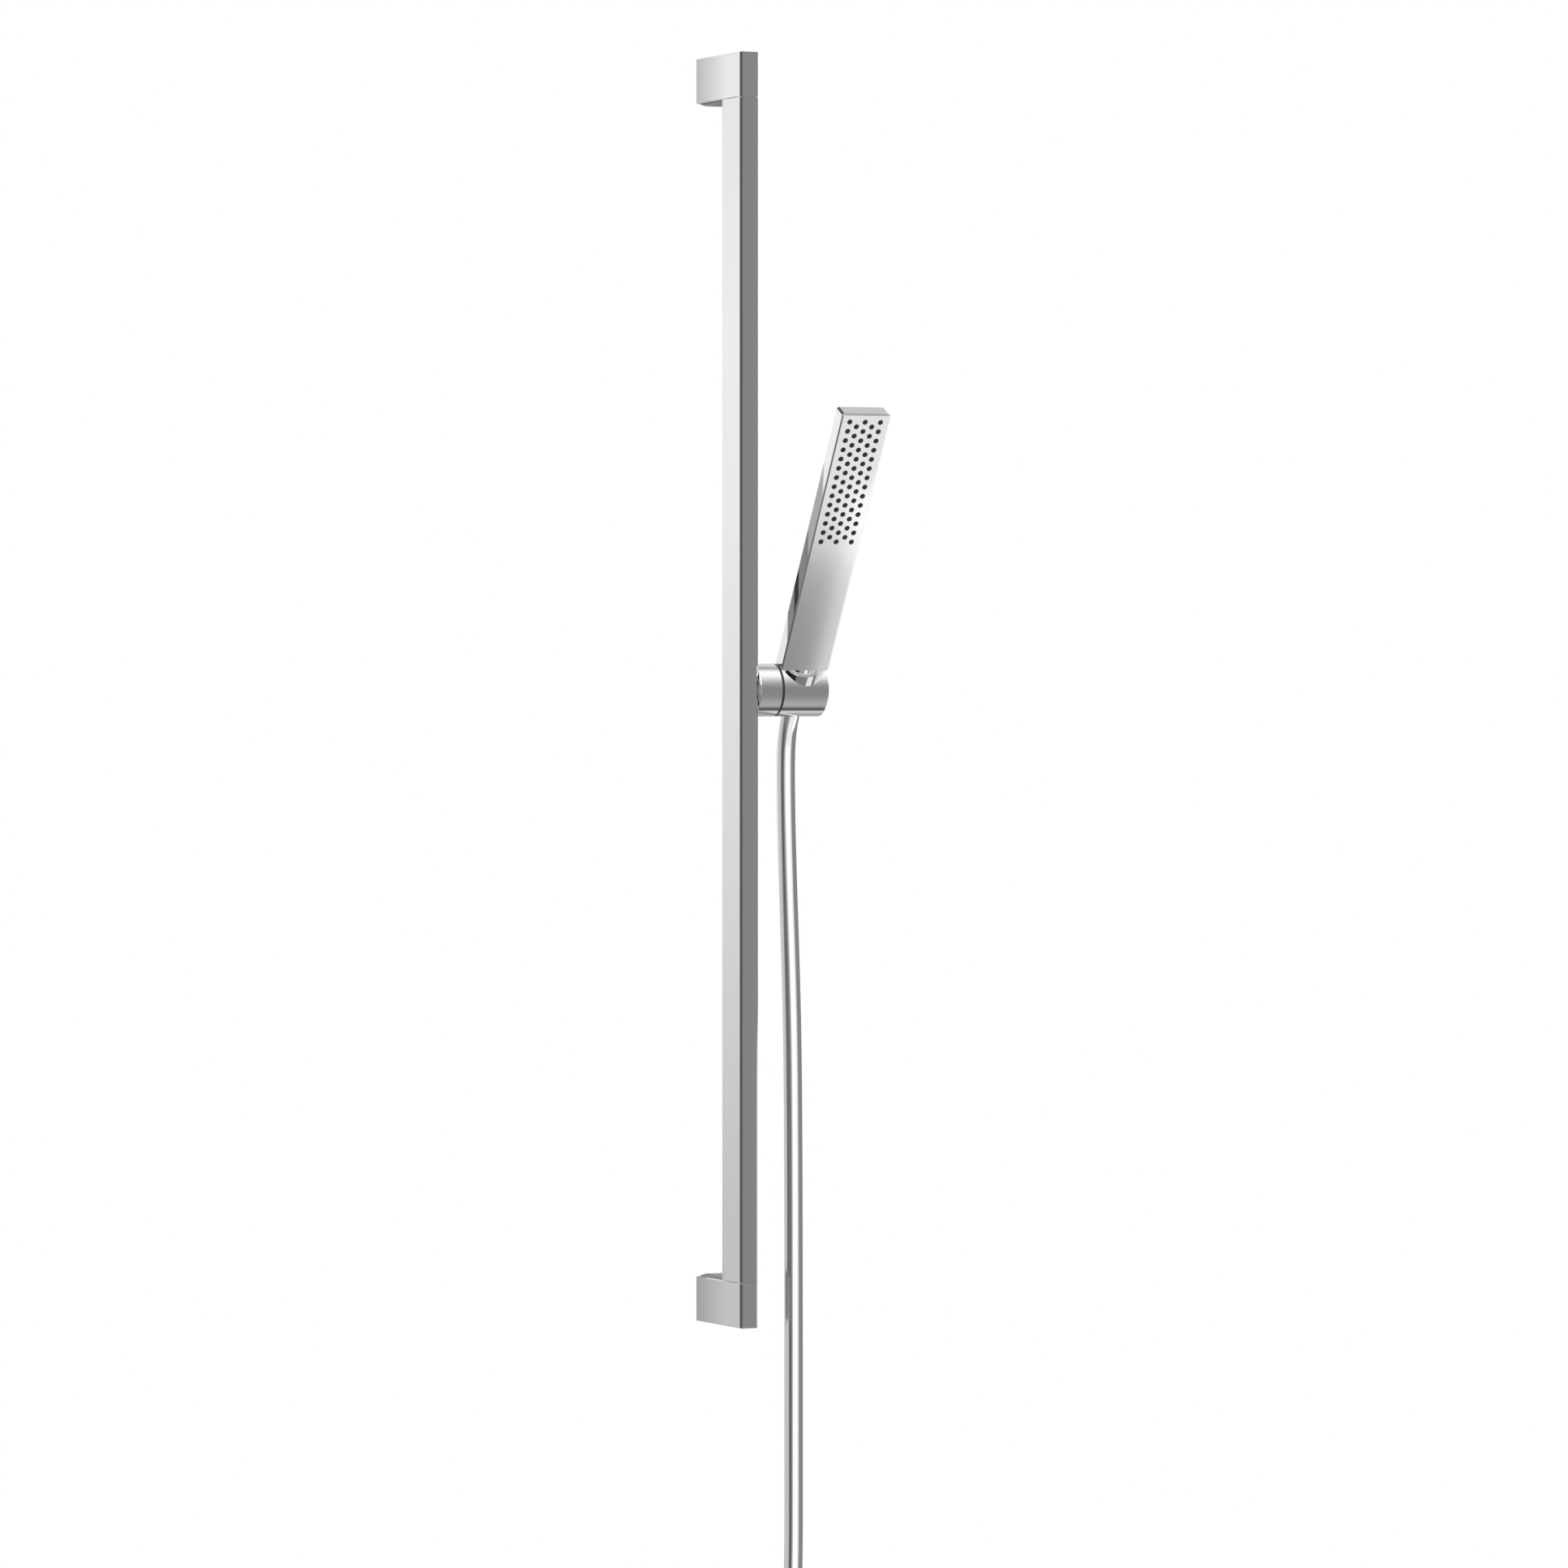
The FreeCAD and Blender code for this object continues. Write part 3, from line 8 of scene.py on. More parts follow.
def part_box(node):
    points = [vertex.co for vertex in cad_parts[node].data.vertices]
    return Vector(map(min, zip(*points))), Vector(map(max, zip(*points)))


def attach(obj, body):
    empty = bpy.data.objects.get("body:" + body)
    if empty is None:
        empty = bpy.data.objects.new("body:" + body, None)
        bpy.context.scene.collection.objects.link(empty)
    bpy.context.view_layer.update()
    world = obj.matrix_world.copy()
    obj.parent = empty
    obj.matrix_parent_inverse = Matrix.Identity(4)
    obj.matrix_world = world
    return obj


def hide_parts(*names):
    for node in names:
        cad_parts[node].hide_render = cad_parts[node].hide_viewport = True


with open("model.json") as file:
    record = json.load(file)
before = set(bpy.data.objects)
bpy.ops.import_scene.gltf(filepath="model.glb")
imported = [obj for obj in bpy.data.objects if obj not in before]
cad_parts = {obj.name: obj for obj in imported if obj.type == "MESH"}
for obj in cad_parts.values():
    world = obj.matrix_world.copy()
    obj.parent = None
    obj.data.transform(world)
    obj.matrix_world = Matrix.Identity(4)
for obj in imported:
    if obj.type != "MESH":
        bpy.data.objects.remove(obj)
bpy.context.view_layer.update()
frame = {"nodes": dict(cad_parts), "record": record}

# Camera: stands a little left of the rail's front, level, far off with a long lens, as the
# photograph was taken. Its shift lifts the horizon above the middle of the picture.
PHOTO_SIZE = 1932
VIEW_TURN = math.radians(24.146)
VIEW_DISTANCE = 5.9543
VIEW_HEIGHT = 0.00245
FOCAL_PIXELS = 9686.6
AXIS_PIXEL = (869.2, 846.125)
SENSOR = 36.0
FARTHEST_SEEN = 100
bpy.ops.object.camera_add()
camera = bpy.context.object
camera.name = "camera"
camera.data.sensor_width = SENSOR
camera.data.lens = SENSOR * FOCAL_PIXELS / PHOTO_SIZE
camera.data.clip_end = FARTHEST_SEEN
camera.location = (-VIEW_DISTANCE * math.sin(VIEW_TURN), -VIEW_DISTANCE * math.cos(VIEW_TURN),
                   VIEW_HEIGHT)
turn_to_middle = math.atan((PHOTO_SIZE / 2 - AXIS_PIXEL[0]) / FOCAL_PIXELS)
camera.rotation_euler = (math.radians(90), 0, -VIEW_TURN - turn_to_middle)
camera.data.shift_y = (AXIS_PIXEL[1] - PHOTO_SIZE / 2) / PHOTO_SIZE
bpy.context.scene.camera = camera
bpy.context.scene.view_settings.view_transform = "Standard"

# Studio: a surround that the camera sees as plain white. Chrome mirrors a room of soft panels
# instead: a middle ring from the front over and under the rail to the wall, and a set to each side.
# A ring's stops are an angle from straight ahead and a level; an edge is two parts of a direction.
MIDDLE_RING = ((-180, 0.77), (-177.7, 0.65), (-175.4, 0.53), (-146, 0.36), (-127, 0.36), (-113, 0.60),
               (-106, 0.55), (-101, 0.24), (-97, 0.10), (-87, 0.10), (-81, 0.28), (-72, 0.375),
               (-60, 0.385), (-48, 0.33), (-33, 0.262), (-16, 0.238), (4, 0.234), (17, 0.275),
               (31, 0.385), (46, 0.62), (57, 0.84), (66, 0.98), (84, 1.0), (93, 0.80), (104, 0.40),
               (112, 0.38), (123, 0.56), (142, 0.66), (165, 0.72), (175.8, 0.82), (177.8, 0.88),
               (180, 0.77))
LEFT_RING = ((-180, 0.70), (-150, 0.62), (-90, 0.55), (-78, 0.10), (-54, 0.10), (-44, 0.45),
             (20, 0.50), (180, 0.70))
LEFT_EDGE = (0.39, 0.33)
RIGHT_EDGE = (0.46, 0.54)
CEILING_EDGE = (0.2, 0.4)
LEFT_CEILING_BACK_EDGE = (0.15, 0.3)
LEFT_CEILING_LEVEL = 0.9
LEFT_CEILING_BACK_LEVEL = 0.06
LEFT_FLOOR_EDGE = (-0.22, -0.34)
LEFT_FLOOR_LEVEL = 0.30
DARK_CORNER_SIDE_EDGE = (-0.62, -0.74)
DARK_CORNER_BACK_EDGE = (0.05, 0.2)
DARK_CORNER_LEVEL = 0.03
WALL_EDGE = (0.8, 0.86)
RIGHT_LEVEL = 0.24
RIGHT_CEILING_LEVEL = 0.9
RIGHT_FLOOR_EDGE = (-0.42, -0.52)
RIGHT_FLOOR_LEVEL = 1.2
ROOM_STRENGTH = 1.15
world = bpy.data.worlds.new("studio")
bpy.context.scene.world = world
world.use_nodes = True
studio = world.node_tree
studio.nodes.clear()


def math_node(tree, operation, *inputs):
    """One sum in a node tree, from numbers or other nodes' outputs."""
    node = tree.nodes.new("ShaderNodeMath")
    node.operation = operation
    for socket, value in zip(node.inputs, inputs):
        if isinstance(value, (int, float)):
            socket.default_value = value
        else:
            tree.links.new(value, socket)
    return node.outputs[0]


def blend(tree, share, first, second):
    """A mix of two levels, colours or outputs: the first at share 0, the second at share 1."""
    node = tree.nodes.new("ShaderNodeMix")
    node.data_type = "RGBA"
    tree.links.new(share, node.inputs["Factor"])
    sockets = [socket for socket in node.inputs if socket.type == "RGBA"]
    for socket, value in zip(sockets, (first, second)):
        if isinstance(value, float):
            socket.default_value = (value, value, value, 1)
        elif isinstance(value, tuple):
            socket.default_value = value
        else:
            tree.links.new(value, socket)
    return next(socket for socket in node.outputs if socket.type == "RGBA")


def past(value, edge):
    """Rises softly from 0 at an edge's first limit to 1 at its second."""
    node = studio.nodes.new("ShaderNodeMapRange")
    node.interpolation_type = "SMOOTHSTEP"
    node.inputs["From Min"].default_value = edge[0]
    node.inputs["From Max"].default_value = edge[1]
    studio.links.new(value, node.inputs["Value"])
    return node.outputs["Result"]


def ring_of_panels(angle, stops):
    """The level of a ring of panels at an angle in radians."""
    spot = math_node(studio, "MULTIPLY_ADD", angle, 0.5 / math.pi, 0.5)
    ramp = studio.nodes.new("ShaderNodeValToRGB")
    for index, (degrees, level) in enumerate(stops):
        where = (degrees + 180) / 360
        stop = ramp.color_ramp.elements[index] if index < 2 else ramp.color_ramp.elements.new(where)
        stop.position = where
        stop.color = (level, level, level, 1)
    studio.links.new(spot, ramp.inputs["Fac"])
    return ramp.outputs["Color"]


direction = studio.nodes.new("ShaderNodeTexCoord")
split = studio.nodes.new("ShaderNodeSeparateXYZ")
studio.links.new(direction.outputs["Generated"], split.inputs[0])
right, back, up = (split.outputs[name] for name in "XYZ")
ahead = math_node(studio, "MULTIPLY", back, -1)
ceiling = past(up, CEILING_EDGE)
middle_set = ring_of_panels(math_node(studio, "ARCTAN2", up, ahead), MIDDLE_RING)
left_set = ring_of_panels(math_node(studio, "ARCTAN2", right, ahead), LEFT_RING)
dark_corner = blend(studio, past(back, DARK_CORNER_BACK_EDGE), DARK_CORNER_LEVEL, LEFT_FLOOR_LEVEL)
left_floor = blend(studio, past(right, DARK_CORNER_SIDE_EDGE), LEFT_FLOOR_LEVEL, dark_corner)
left_ceiling = blend(studio, past(back, LEFT_CEILING_BACK_EDGE), LEFT_CEILING_LEVEL,
                     LEFT_CEILING_BACK_LEVEL)
left_set = blend(studio, past(up, LEFT_FLOOR_EDGE), left_set, left_floor)
left_set = blend(studio, ceiling, left_set, left_ceiling)
left_set = blend(studio, past(back, WALL_EDGE), left_set, middle_set)
right_set = blend(studio, ceiling, RIGHT_LEVEL, RIGHT_CEILING_LEVEL)
right_set = blend(studio, past(up, RIGHT_FLOOR_EDGE), right_set, RIGHT_FLOOR_LEVEL)
all_sets = blend(studio, past(right, LEFT_EDGE), middle_set, left_set)
all_sets = blend(studio, past(right, RIGHT_EDGE), all_sets, right_set)
room = studio.nodes.new("ShaderNodeBackground")
room.inputs["Strength"].default_value = ROOM_STRENGTH
plain_white = studio.nodes.new("ShaderNodeBackground")
plain_white.inputs["Color"].default_value = (1, 1, 1, 1)
ray = studio.nodes.new("ShaderNodeLightPath")
surround = studio.nodes.new("ShaderNodeMixShader")
output = studio.nodes.new("ShaderNodeOutputWorld")
studio.links.new(all_sets, room.inputs["Color"])
studio.links.new(ray.outputs["Is Camera Ray"], surround.inputs["Fac"])
studio.links.new(room.outputs[0], surround.inputs[1])
studio.links.new(plain_white.outputs[0], surround.inputs[2])
studio.links.new(surround.outputs[0], output.inputs["Surface"])

# Soft light: a large panel up to the left in front, and a pale floor well under the coil, which
# nothing mirrors.
KEY_PLACE = Vector((-2.2, -2.6, 2.4))
KEY_SIZE = 1.8
KEY_POWER = 60
FLOOR_HEIGHT = -1.32
FLOOR_SIZE = 5
bpy.ops.object.light_add(type="AREA", location=KEY_PLACE)
key = bpy.context.object
key.name = "key_light"
key.data.size = KEY_SIZE
key.data.energy = KEY_POWER
key.rotation_euler = (-KEY_PLACE).to_track_quat("-Z", "Y").to_euler()
bpy.ops.mesh.primitive_plane_add(size=FLOOR_SIZE, location=(0, 0, FLOOR_HEIGHT))
floor = bpy.context.object
floor.name = "floor"
floor.visible_glossy = False


def finish(name, colour, metallic, roughness, wear=0.02, scale=180.0, detail=4):
    """A material whose roughness varies a little over the surface, as handled metal's does."""
    material = bpy.data.materials.new(name)
    material.use_nodes = True
    tree = material.node_tree
    shader = tree.nodes["Principled BSDF"]
    shader.inputs["Base Color"].default_value = (*colour, 1)
    shader.inputs["Metallic"].default_value = metallic
    spot = tree.nodes.new("ShaderNodeTexCoord")
    noise = tree.nodes.new("ShaderNodeTexNoise")
    noise.inputs["Scale"].default_value = scale
    noise.inputs["Detail"].default_value = detail
    spread = tree.nodes.new("ShaderNodeMapRange")
    spread.inputs["To Min"].default_value = roughness
    spread.inputs["To Max"].default_value = roughness + wear
    tree.links.new(spot.outputs["Object"], noise.inputs["Vector"])
    tree.links.new(noise.outputs["Fac"], spread.inputs["Value"])
    tree.links.new(spread.outputs["Result"], shader.inputs["Roughness"])
    return material


floor.data.materials.append(finish("pale_floor", colour=(0.8, 0.8, 0.8), metallic=0, roughness=0.8))

# Rail: a polished and chromed aluminium extrusion with a T-shaped channel down its right side for
# the slider's runner and a closed chamber before and behind it. It is cut square, stands between
# the brackets, and is left dull on its right side and in the channel, as it comes from the die.
RAIL_WALL = 0.0022
CHANNEL_MOUTH = 0.008
CHANNEL_WIDTH = 0.016
CHANNEL_LIP = 0.003
CHANNEL_WEB = 0.0017
EDGE_CHAMFER = 0.0016
MILL_COLOUR = (0.52, 0.52, 0.53)
MILL_ROUGHNESS = 0.5
MILL_MARGIN = 0.0001
rail_low, rail_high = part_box("rail_bar")
rail_middle = (rail_low + rail_high) / 2
rail_size = rail_high - rail_low
chamber_start = CHANNEL_WIDTH / 2 + CHANNEL_WEB


def choose(*pieces):
    """Select these pieces alone, with the first one active."""
    bpy.ops.object.select_all(action="DESELECT")
    for piece in pieces:
        piece.select_set(True)
    bpy.context.view_layer.objects.active = pieces[0]


def edit(piece):
    """Open one piece alone in edit mode, with nothing selected."""
    choose(piece)
    bpy.ops.object.mode_set(mode="EDIT")
    bpy.ops.mesh.select_all(action="DESELECT")


def done():
    bpy.ops.object.mode_set(mode="OBJECT")


def near(value, wanted, slack=1e-5):
    return abs(value - wanted) < slack


def pick(piece, kind, wanted):
    """Select the faces, edges or vertices whose middle and direction the wanted test takes."""
    mesh = bmesh.from_edit_mesh(piece.data)
    bpy.ops.mesh.select_all(action="DESELECT")
    bpy.ops.mesh.select_mode(type=kind)
    for item in {"FACE": mesh.faces, "EDGE": mesh.edges, "VERT": mesh.verts}[kind]:
        if kind == "FACE":
            chosen = wanted(item.calc_center_median(), item.normal)
        elif kind == "EDGE":
            ends = item.verts[1].co - item.verts[0].co
            chosen = wanted((item.verts[0].co + item.verts[1].co) / 2, ends.normalized())
        else:
            chosen = wanted(item.co, item.normal)
        if chosen:
            item.select_set(True)
    mesh.select_flush_mode()
    bmesh.update_edit_mesh(piece.data)


def extrude(*move):
    """Extrude what is selected by this much."""
    bpy.ops.mesh.extrude_region_move(TRANSFORM_OT_translate={"value": move})


def apply_place():
    """Put the active piece's place, turn and scale into its mesh."""
    bpy.ops.object.transform_apply(location=True, rotation=True, scale=True)


def settle(piece, name, material, body, smooth=35):
    """Finish a piece: its place in its mesh, smooth shading, its look, and the body it rides on."""
    choose(piece)
    apply_place()
    bpy.ops.object.shade_smooth_by_angle(angle=math.radians(smooth))
    even = piece.modifiers.new("even_shading", "WEIGHTED_NORMAL")
    even.keep_sharp = True
    bpy.ops.object.modifier_apply(modifier=even.name)
    piece.name = name
    piece.data.name = name
    piece.data.materials.append(material)
    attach(piece, body)


bpy.ops.mesh.primitive_plane_add(size=1, location=(rail_middle.x, rail_middle.y, rail_low.z))
rail = bpy.context.object
rail.scale = (rail_size.x, rail_size.y, 1)
apply_place()
edit(rail)
section_cuts = [(0, rail_high.x - CHANNEL_LIP), (0, rail_low.x + CHANNEL_LIP),
                (0, rail_high.x - RAIL_WALL), (0, rail_low.x + RAIL_WALL)]
for away in (CHANNEL_MOUTH / 2, CHANNEL_WIDTH / 2, chamber_start, rail_size.y / 2 - RAIL_WALL):
    section_cuts += [(1, rail_middle.y - away), (1, rail_middle.y + away)]
for axis, where in section_cuts:
    bpy.ops.mesh.select_all(action="SELECT")
    bpy.ops.mesh.bisect(plane_co=(where, where, 0), plane_no=(axis == 0, axis == 1, 0))


def in_rail_hollow(middle, way):
    across = middle.x - rail_middle.x
    away = abs(middle.y - rail_middle.y)
    lips = rail_size.x / 2 - CHANNEL_LIP
    mouth = across > lips and away < CHANNEL_MOUTH / 2
    channel = abs(across) < lips and away < CHANNEL_WIDTH / 2
    beside_channel = chamber_start < away < rail_size.y / 2 - RAIL_WALL
    chamber = abs(across) < rail_size.x / 2 - RAIL_WALL and beside_channel
    return mouth or channel or chamber


def on_rail_corner(co, way):
    aside = abs(co.x - rail_middle.x)
    away = abs(co.y - rail_middle.y)
    return near(aside, rail_size.x / 2) and near(away, rail_size.y / 2)


pick(rail, "FACE", in_rail_hollow)
bpy.ops.mesh.delete(type="FACE")
pick(rail, "VERT", on_rail_corner)
bpy.ops.mesh.bevel(offset=EDGE_CHAMFER, segments=1, affect="VERTICES")
bpy.ops.mesh.select_all(action="SELECT")
extrude(0, 0, rail_size.z)
bpy.ops.mesh.select_all(action="SELECT")
bpy.ops.mesh.normals_make_consistent(inside=False)
done()


def leave_channel_side_dull(material):
    """Keep the side with the channel, and the channel itself, as they come from the die."""
    tree = material.node_tree
    shader = tree.nodes["Principled BSDF"]
    spot = tree.nodes.new("ShaderNodeTexCoord")
    parts = tree.nodes.new("ShaderNodeSeparateXYZ")
    tree.links.new(spot.outputs["Object"], parts.inputs[0])
    channel_side = math_node(tree, "GREATER_THAN", parts.outputs["X"], rail_high.x - MILL_MARGIN)
    behind_left_face = math_node(tree, "GREATER_THAN", parts.outputs["X"], rail_low.x + MILL_MARGIN)
    by_channel = math_node(tree, "COMPARE", parts.outputs["Y"], rail_middle.y,
                           chamber_start - MILL_MARGIN)
    in_channel = math_node(tree, "MULTIPLY", behind_left_face, by_channel)
    dull = math_node(tree, "MAXIMUM", channel_side, in_channel)
    polished_colour = tuple(shader.inputs["Base Color"].default_value)
    colour = blend(tree, dull, polished_colour, (*MILL_COLOUR, 1))
    tree.links.new(colour, shader.inputs["Base Color"])
    rough = tree.nodes.new("ShaderNodeMix")
    tree.links.new(dull, rough.inputs["Factor"])
    tree.links.new(shader.inputs["Roughness"].links[0].from_socket, rough.inputs["A"])
    rough.inputs["B"].default_value = MILL_ROUGHNESS
    tree.links.new(rough.outputs["Result"], shader.inputs["Roughness"])


aluminium = finish("polished_aluminium", colour=(0.84, 0.84, 0.85), metallic=1, roughness=0.04)
leave_channel_side_dull(aluminium)
settle(rail, "rail", aluminium, "rail")
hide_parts("rail_bar")

# Wall brackets: two die-cast chromed blocks that cap the bar. Each is hollow from the wall side,
# where a steel plate is screwed to the wall and held from within by a grub screw, and has a recess
# by the bar for a plastic cover. The joint with the bar is finely chamfered.
BRACKET_ROUND = 0.0008
JOINT_CHAMFER = 0.0007
CAVITY_WIDTH = 0.011
CAVITY_DEPTH = 0.040
CAVITY_FLOOR = 0.006
CAVITY_ROOF = 0.004
COVER_WIDTH = 0.0116
COVER_START = 0.0017
COVER_END = 0.0443
COVER_RECESS = 0.0012
# Beside each bracket, a glowing strip that only the bracket mirrors paints the reflection of a wall
# onto its left face, with painted shade darker towards the bracket.
SHADE_WIDTH = 0.026
SHADE_HEIGHT_SHARE = 1.5
SHADE_BEHIND_WALL = 0.0022
SHADE_LEVELS = {"upper": (0.55, 0.93), "lower": (0.40, 0.62)}
FACING = 0.99  # a face looks a certain way when this much of its normal points there
chrome = finish("chrome", colour=(0.86, 0.86, 0.87), metallic=1, roughness=0.03)


def block(middle, size):
    """A plain block of this size about this middle."""
    bpy.ops.mesh.primitive_cube_add(size=1, location=middle)
    bpy.context.object.scale = size
    apply_place()
    return bpy.context.object


def paint_wall_reflection_beside(end, low, high):
    """A glowing strip left of a bracket, seen only in the bracket's mirror: a painted reflection of a
    wall with painted shade, darker towards the bracket.
    """
    middle = (low.x - SHADE_WIDTH / 2, high.y + SHADE_BEHIND_WALL, (low.z + high.z) / 2)
    bpy.ops.mesh.primitive_plane_add(size=1, location=middle, rotation=(math.radians(90), 0, 0))
    strip = bpy.context.object
    strip.name = end + "_painted_wall_reflection"
    strip.scale = (SHADE_WIDTH, SHADE_HEIGHT_SHARE * (high.z - low.z), 1)
    apply_place()
    material = bpy.data.materials.new(strip.name)
    material.use_nodes = True
    tree = material.node_tree
    tree.nodes.remove(tree.nodes["Principled BSDF"])
    spot = tree.nodes.new("ShaderNodeTexCoord")
    parts = tree.nodes.new("ShaderNodeSeparateXYZ")
    fade = tree.nodes.new("ShaderNodeMapRange")
    fade.inputs["From Min"].default_value = low.x
    fade.inputs["From Max"].default_value = low.x - SHADE_WIDTH
    fade.inputs["To Min"].default_value = SHADE_LEVELS[end][0]
    fade.inputs["To Max"].default_value = SHADE_LEVELS[end][1]
    glow = tree.nodes.new("ShaderNodeEmission")
    tree.links.new(spot.outputs["Object"], parts.inputs[0])
    tree.links.new(parts.outputs["X"], fade.inputs["Value"])
    tree.links.new(fade.outputs["Result"], glow.inputs["Strength"])
    tree.links.new(glow.outputs[0], tree.nodes["Material Output"].inputs["Surface"])
    strip.data.materials.append(material)
    strip.visible_camera = False
    strip.visible_diffuse = False
    strip.visible_shadow = False


for end, side in (("upper", 1), ("lower", -1)):
    low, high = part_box(end + "_bracket")
    inner = low.z if side > 0 else high.z
    outer = high.z if side > 0 else low.z
    bracket = block((low + high) / 2, high - low)
    edit(bracket)
    pick(bracket, "EDGE", lambda co, way: near(abs(way.z), 1) and near(co.y, low.y))
    bpy.ops.mesh.bevel(offset=EDGE_CHAMFER * math.sqrt(2), offset_type="WIDTH", segments=1,
                       affect="EDGES")
    pick(bracket, "EDGE", lambda co, way: near(abs(way.y), 1) and near(co.z, outer))
    bpy.ops.mesh.bevel(offset=BRACKET_ROUND, segments=4, affect="EDGES")
    pick(bracket, "EDGE",
         lambda co, way: near(way.z, 0) and near(co.z, inner) and not near(co.y, high.y))
    bpy.ops.mesh.bevel(offset=JOINT_CHAMFER, segments=1, affect="EDGES")
    cavity = (inner + side * CAVITY_FLOOR, outer - side * CAVITY_ROOF)
    cavity_cuts = [((half, 0, 0), (1, 0, 0)) for half in (-CAVITY_WIDTH / 2, CAVITY_WIDTH / 2)]
    cavity_cuts += [((0, 0, where), (0, 0, 1)) for where in cavity]
    for where, way in cavity_cuts:
        bpy.ops.mesh.select_all(action="SELECT")
        bpy.ops.mesh.bisect(plane_co=where, plane_no=way)
    pick(bracket, "FACE", lambda co, way: way.y > FACING and abs(co.x) < CAVITY_WIDTH / 2
         and min(cavity) < co.z < max(cavity))
    extrude(0, -CAVITY_DEPTH, 0)
    cover_cuts = [((0, -COVER_START, 0), (0, 1, 0)), ((0, -COVER_END, 0), (0, 1, 0)),
                  ((-COVER_WIDTH / 2, 0, 0), (1, 0, 0)), ((COVER_WIDTH / 2, 0, 0), (1, 0, 0))]
    for where, way in cover_cuts:
        pick(bracket, "FACE", lambda co, way: abs(way.z) > FACING and near(co.z, inner))
        bpy.ops.mesh.bisect(plane_co=where, plane_no=way)
    pick(bracket, "FACE", lambda co, way: abs(way.z) > FACING and near(co.z, inner)
         and abs(co.x) < COVER_WIDTH / 2 and -COVER_END < co.y < -COVER_START)
    extrude(0, 0, side * COVER_RECESS)
    done()
    settle(bracket, end + "_wall_bracket", chrome, "rail")
    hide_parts(end + "_bracket")
    # Painted reflection of a shaded wall for the bracket's left face.
    paint_wall_reflection_beside(end, low, high)

# Slider drum: a turned and chromed brass cup between the rail and the holder, with a soft round at
# its open end. A moulded carrier in that end, screwed to the runner, is kept in by a steel clip.
DRUM_ROUND = 0.0009
DRUM_WALL = 0.0025
DRUM_DEPTH = 0.0144
ROUND_STEPS = 128
drum_low, drum_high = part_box("slider_drum")
drum_middle = (drum_low + drum_high) / 2
drum_radius = (drum_high.z - drum_low.z) / 2
bpy.ops.mesh.primitive_cylinder_add(vertices=ROUND_STEPS, radius=drum_radius,
                                    depth=drum_high.x - drum_low.x, location=drum_middle,
                                    rotation=(0, math.radians(90), 0))
drum = bpy.context.object
apply_place()
edit(drum)
pick(drum, "FACE", lambda co, way: way.x < -FACING)
bpy.ops.mesh.bevel(offset=DRUM_ROUND, segments=6, affect="EDGES")
pick(drum, "FACE", lambda co, way: way.x < -FACING)
bpy.ops.mesh.inset(thickness=DRUM_WALL - DRUM_ROUND)
extrude(DRUM_DEPTH, 0, 0)
done()
settle(drum, "drum", chrome, "slider")
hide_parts("slider_drum")

# Holder: a block turned from the same round bar as the drum, bored across for the conical nut. The
# bore flares at the top and is cut open behind, so that the hose can be laid in.
HOLDER_ROUND = 0.0008
BORE_LIP = 0.0101
BORE_LOW = 0.015
BORE_HIGH = 0.004
BORE_STEPS = 96
SEAT_TAPER = 0.0016
SEAT_STEP = 0.0001
FLARE_START = 0.0135
FLARE_RADIUS = 0.0176
HOSE_SLOT = 0.0156
REST_TILT = math.radians(30)
tilt = next(joint for joint in frame["record"]["behaviour"]["joints"] if joint["name"] == "holder_tilt")
bore_place = Vector(tilt["pos_m"])


def seat_in_bore(piece):
    """Turn a piece that was made upright about the bore's own axis into its place at rest."""
    piece.rotation_euler = (REST_TILT, 0, 0)
    piece.location = bore_place


def cut_away(piece, *cutters):
    """Take the shape of each cutter out of a piece, and drop the cutter."""
    for cutter in cutters:
        cut = piece.modifiers.new("cut", "BOOLEAN")
        cut.operation = "DIFFERENCE"
        cut.object = cutter
        bpy.context.view_layer.objects.active = piece
        bpy.ops.object.modifier_apply(modifier=cut.name)
        bpy.data.objects.remove(cutter)


holder_low, holder_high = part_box("holder")
holder_left = holder_low.x - bore_place.x
holder_right = holder_high.x - bore_place.x
bpy.ops.mesh.primitive_cylinder_add(vertices=ROUND_STEPS, radius=drum_radius,
                                    depth=holder_right - holder_left,
                                    location=((holder_left + holder_right) / 2, 0, 0),
                                    rotation=(0, math.radians(90), 0))
holder = bpy.context.object
apply_place()
edit(holder)
pick(holder, "FACE", lambda co, way: way.x > FACING)
bpy.ops.mesh.bevel(offset=HOLDER_ROUND, segments=5, affect="EDGES")
done()
cutter_length = 3 * drum_radius
flare_top = cutter_length / 2
flare_slope = (FLARE_RADIUS - FLARE_START) / (drum_radius - BORE_HIGH)
flare_reach = FLARE_RADIUS + flare_slope * (flare_top - drum_radius)
bpy.ops.mesh.primitive_cone_add(vertices=BORE_STEPS, radius1=FLARE_START, radius2=flare_reach,
                                depth=flare_top - BORE_HIGH,
                                location=(0, 0, (flare_top + BORE_HIGH) / 2))
flare = bpy.context.object
seat_radius = FLARE_START - SEAT_STEP
bpy.ops.mesh.primitive_cone_add(vertices=BORE_STEPS, radius1=seat_radius - SEAT_TAPER,
                                radius2=seat_radius, depth=BORE_LOW + BORE_HIGH + SEAT_STEP,
                                location=(0, 0, (BORE_HIGH - BORE_LOW + SEAT_STEP) / 2))
seat = bpy.context.object
bpy.ops.mesh.primitive_cylinder_add(vertices=BORE_STEPS, radius=BORE_LIP, depth=cutter_length)
through = bpy.context.object
behind = block((0, drum_radius, 0), (HOSE_SLOT, 2 * drum_radius, cutter_length))
cut_away(holder, flare, seat, through, behind)
seat_in_bore(holder)
settle(holder, "holder_block", chrome, "holder", smooth=30)
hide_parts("holder")

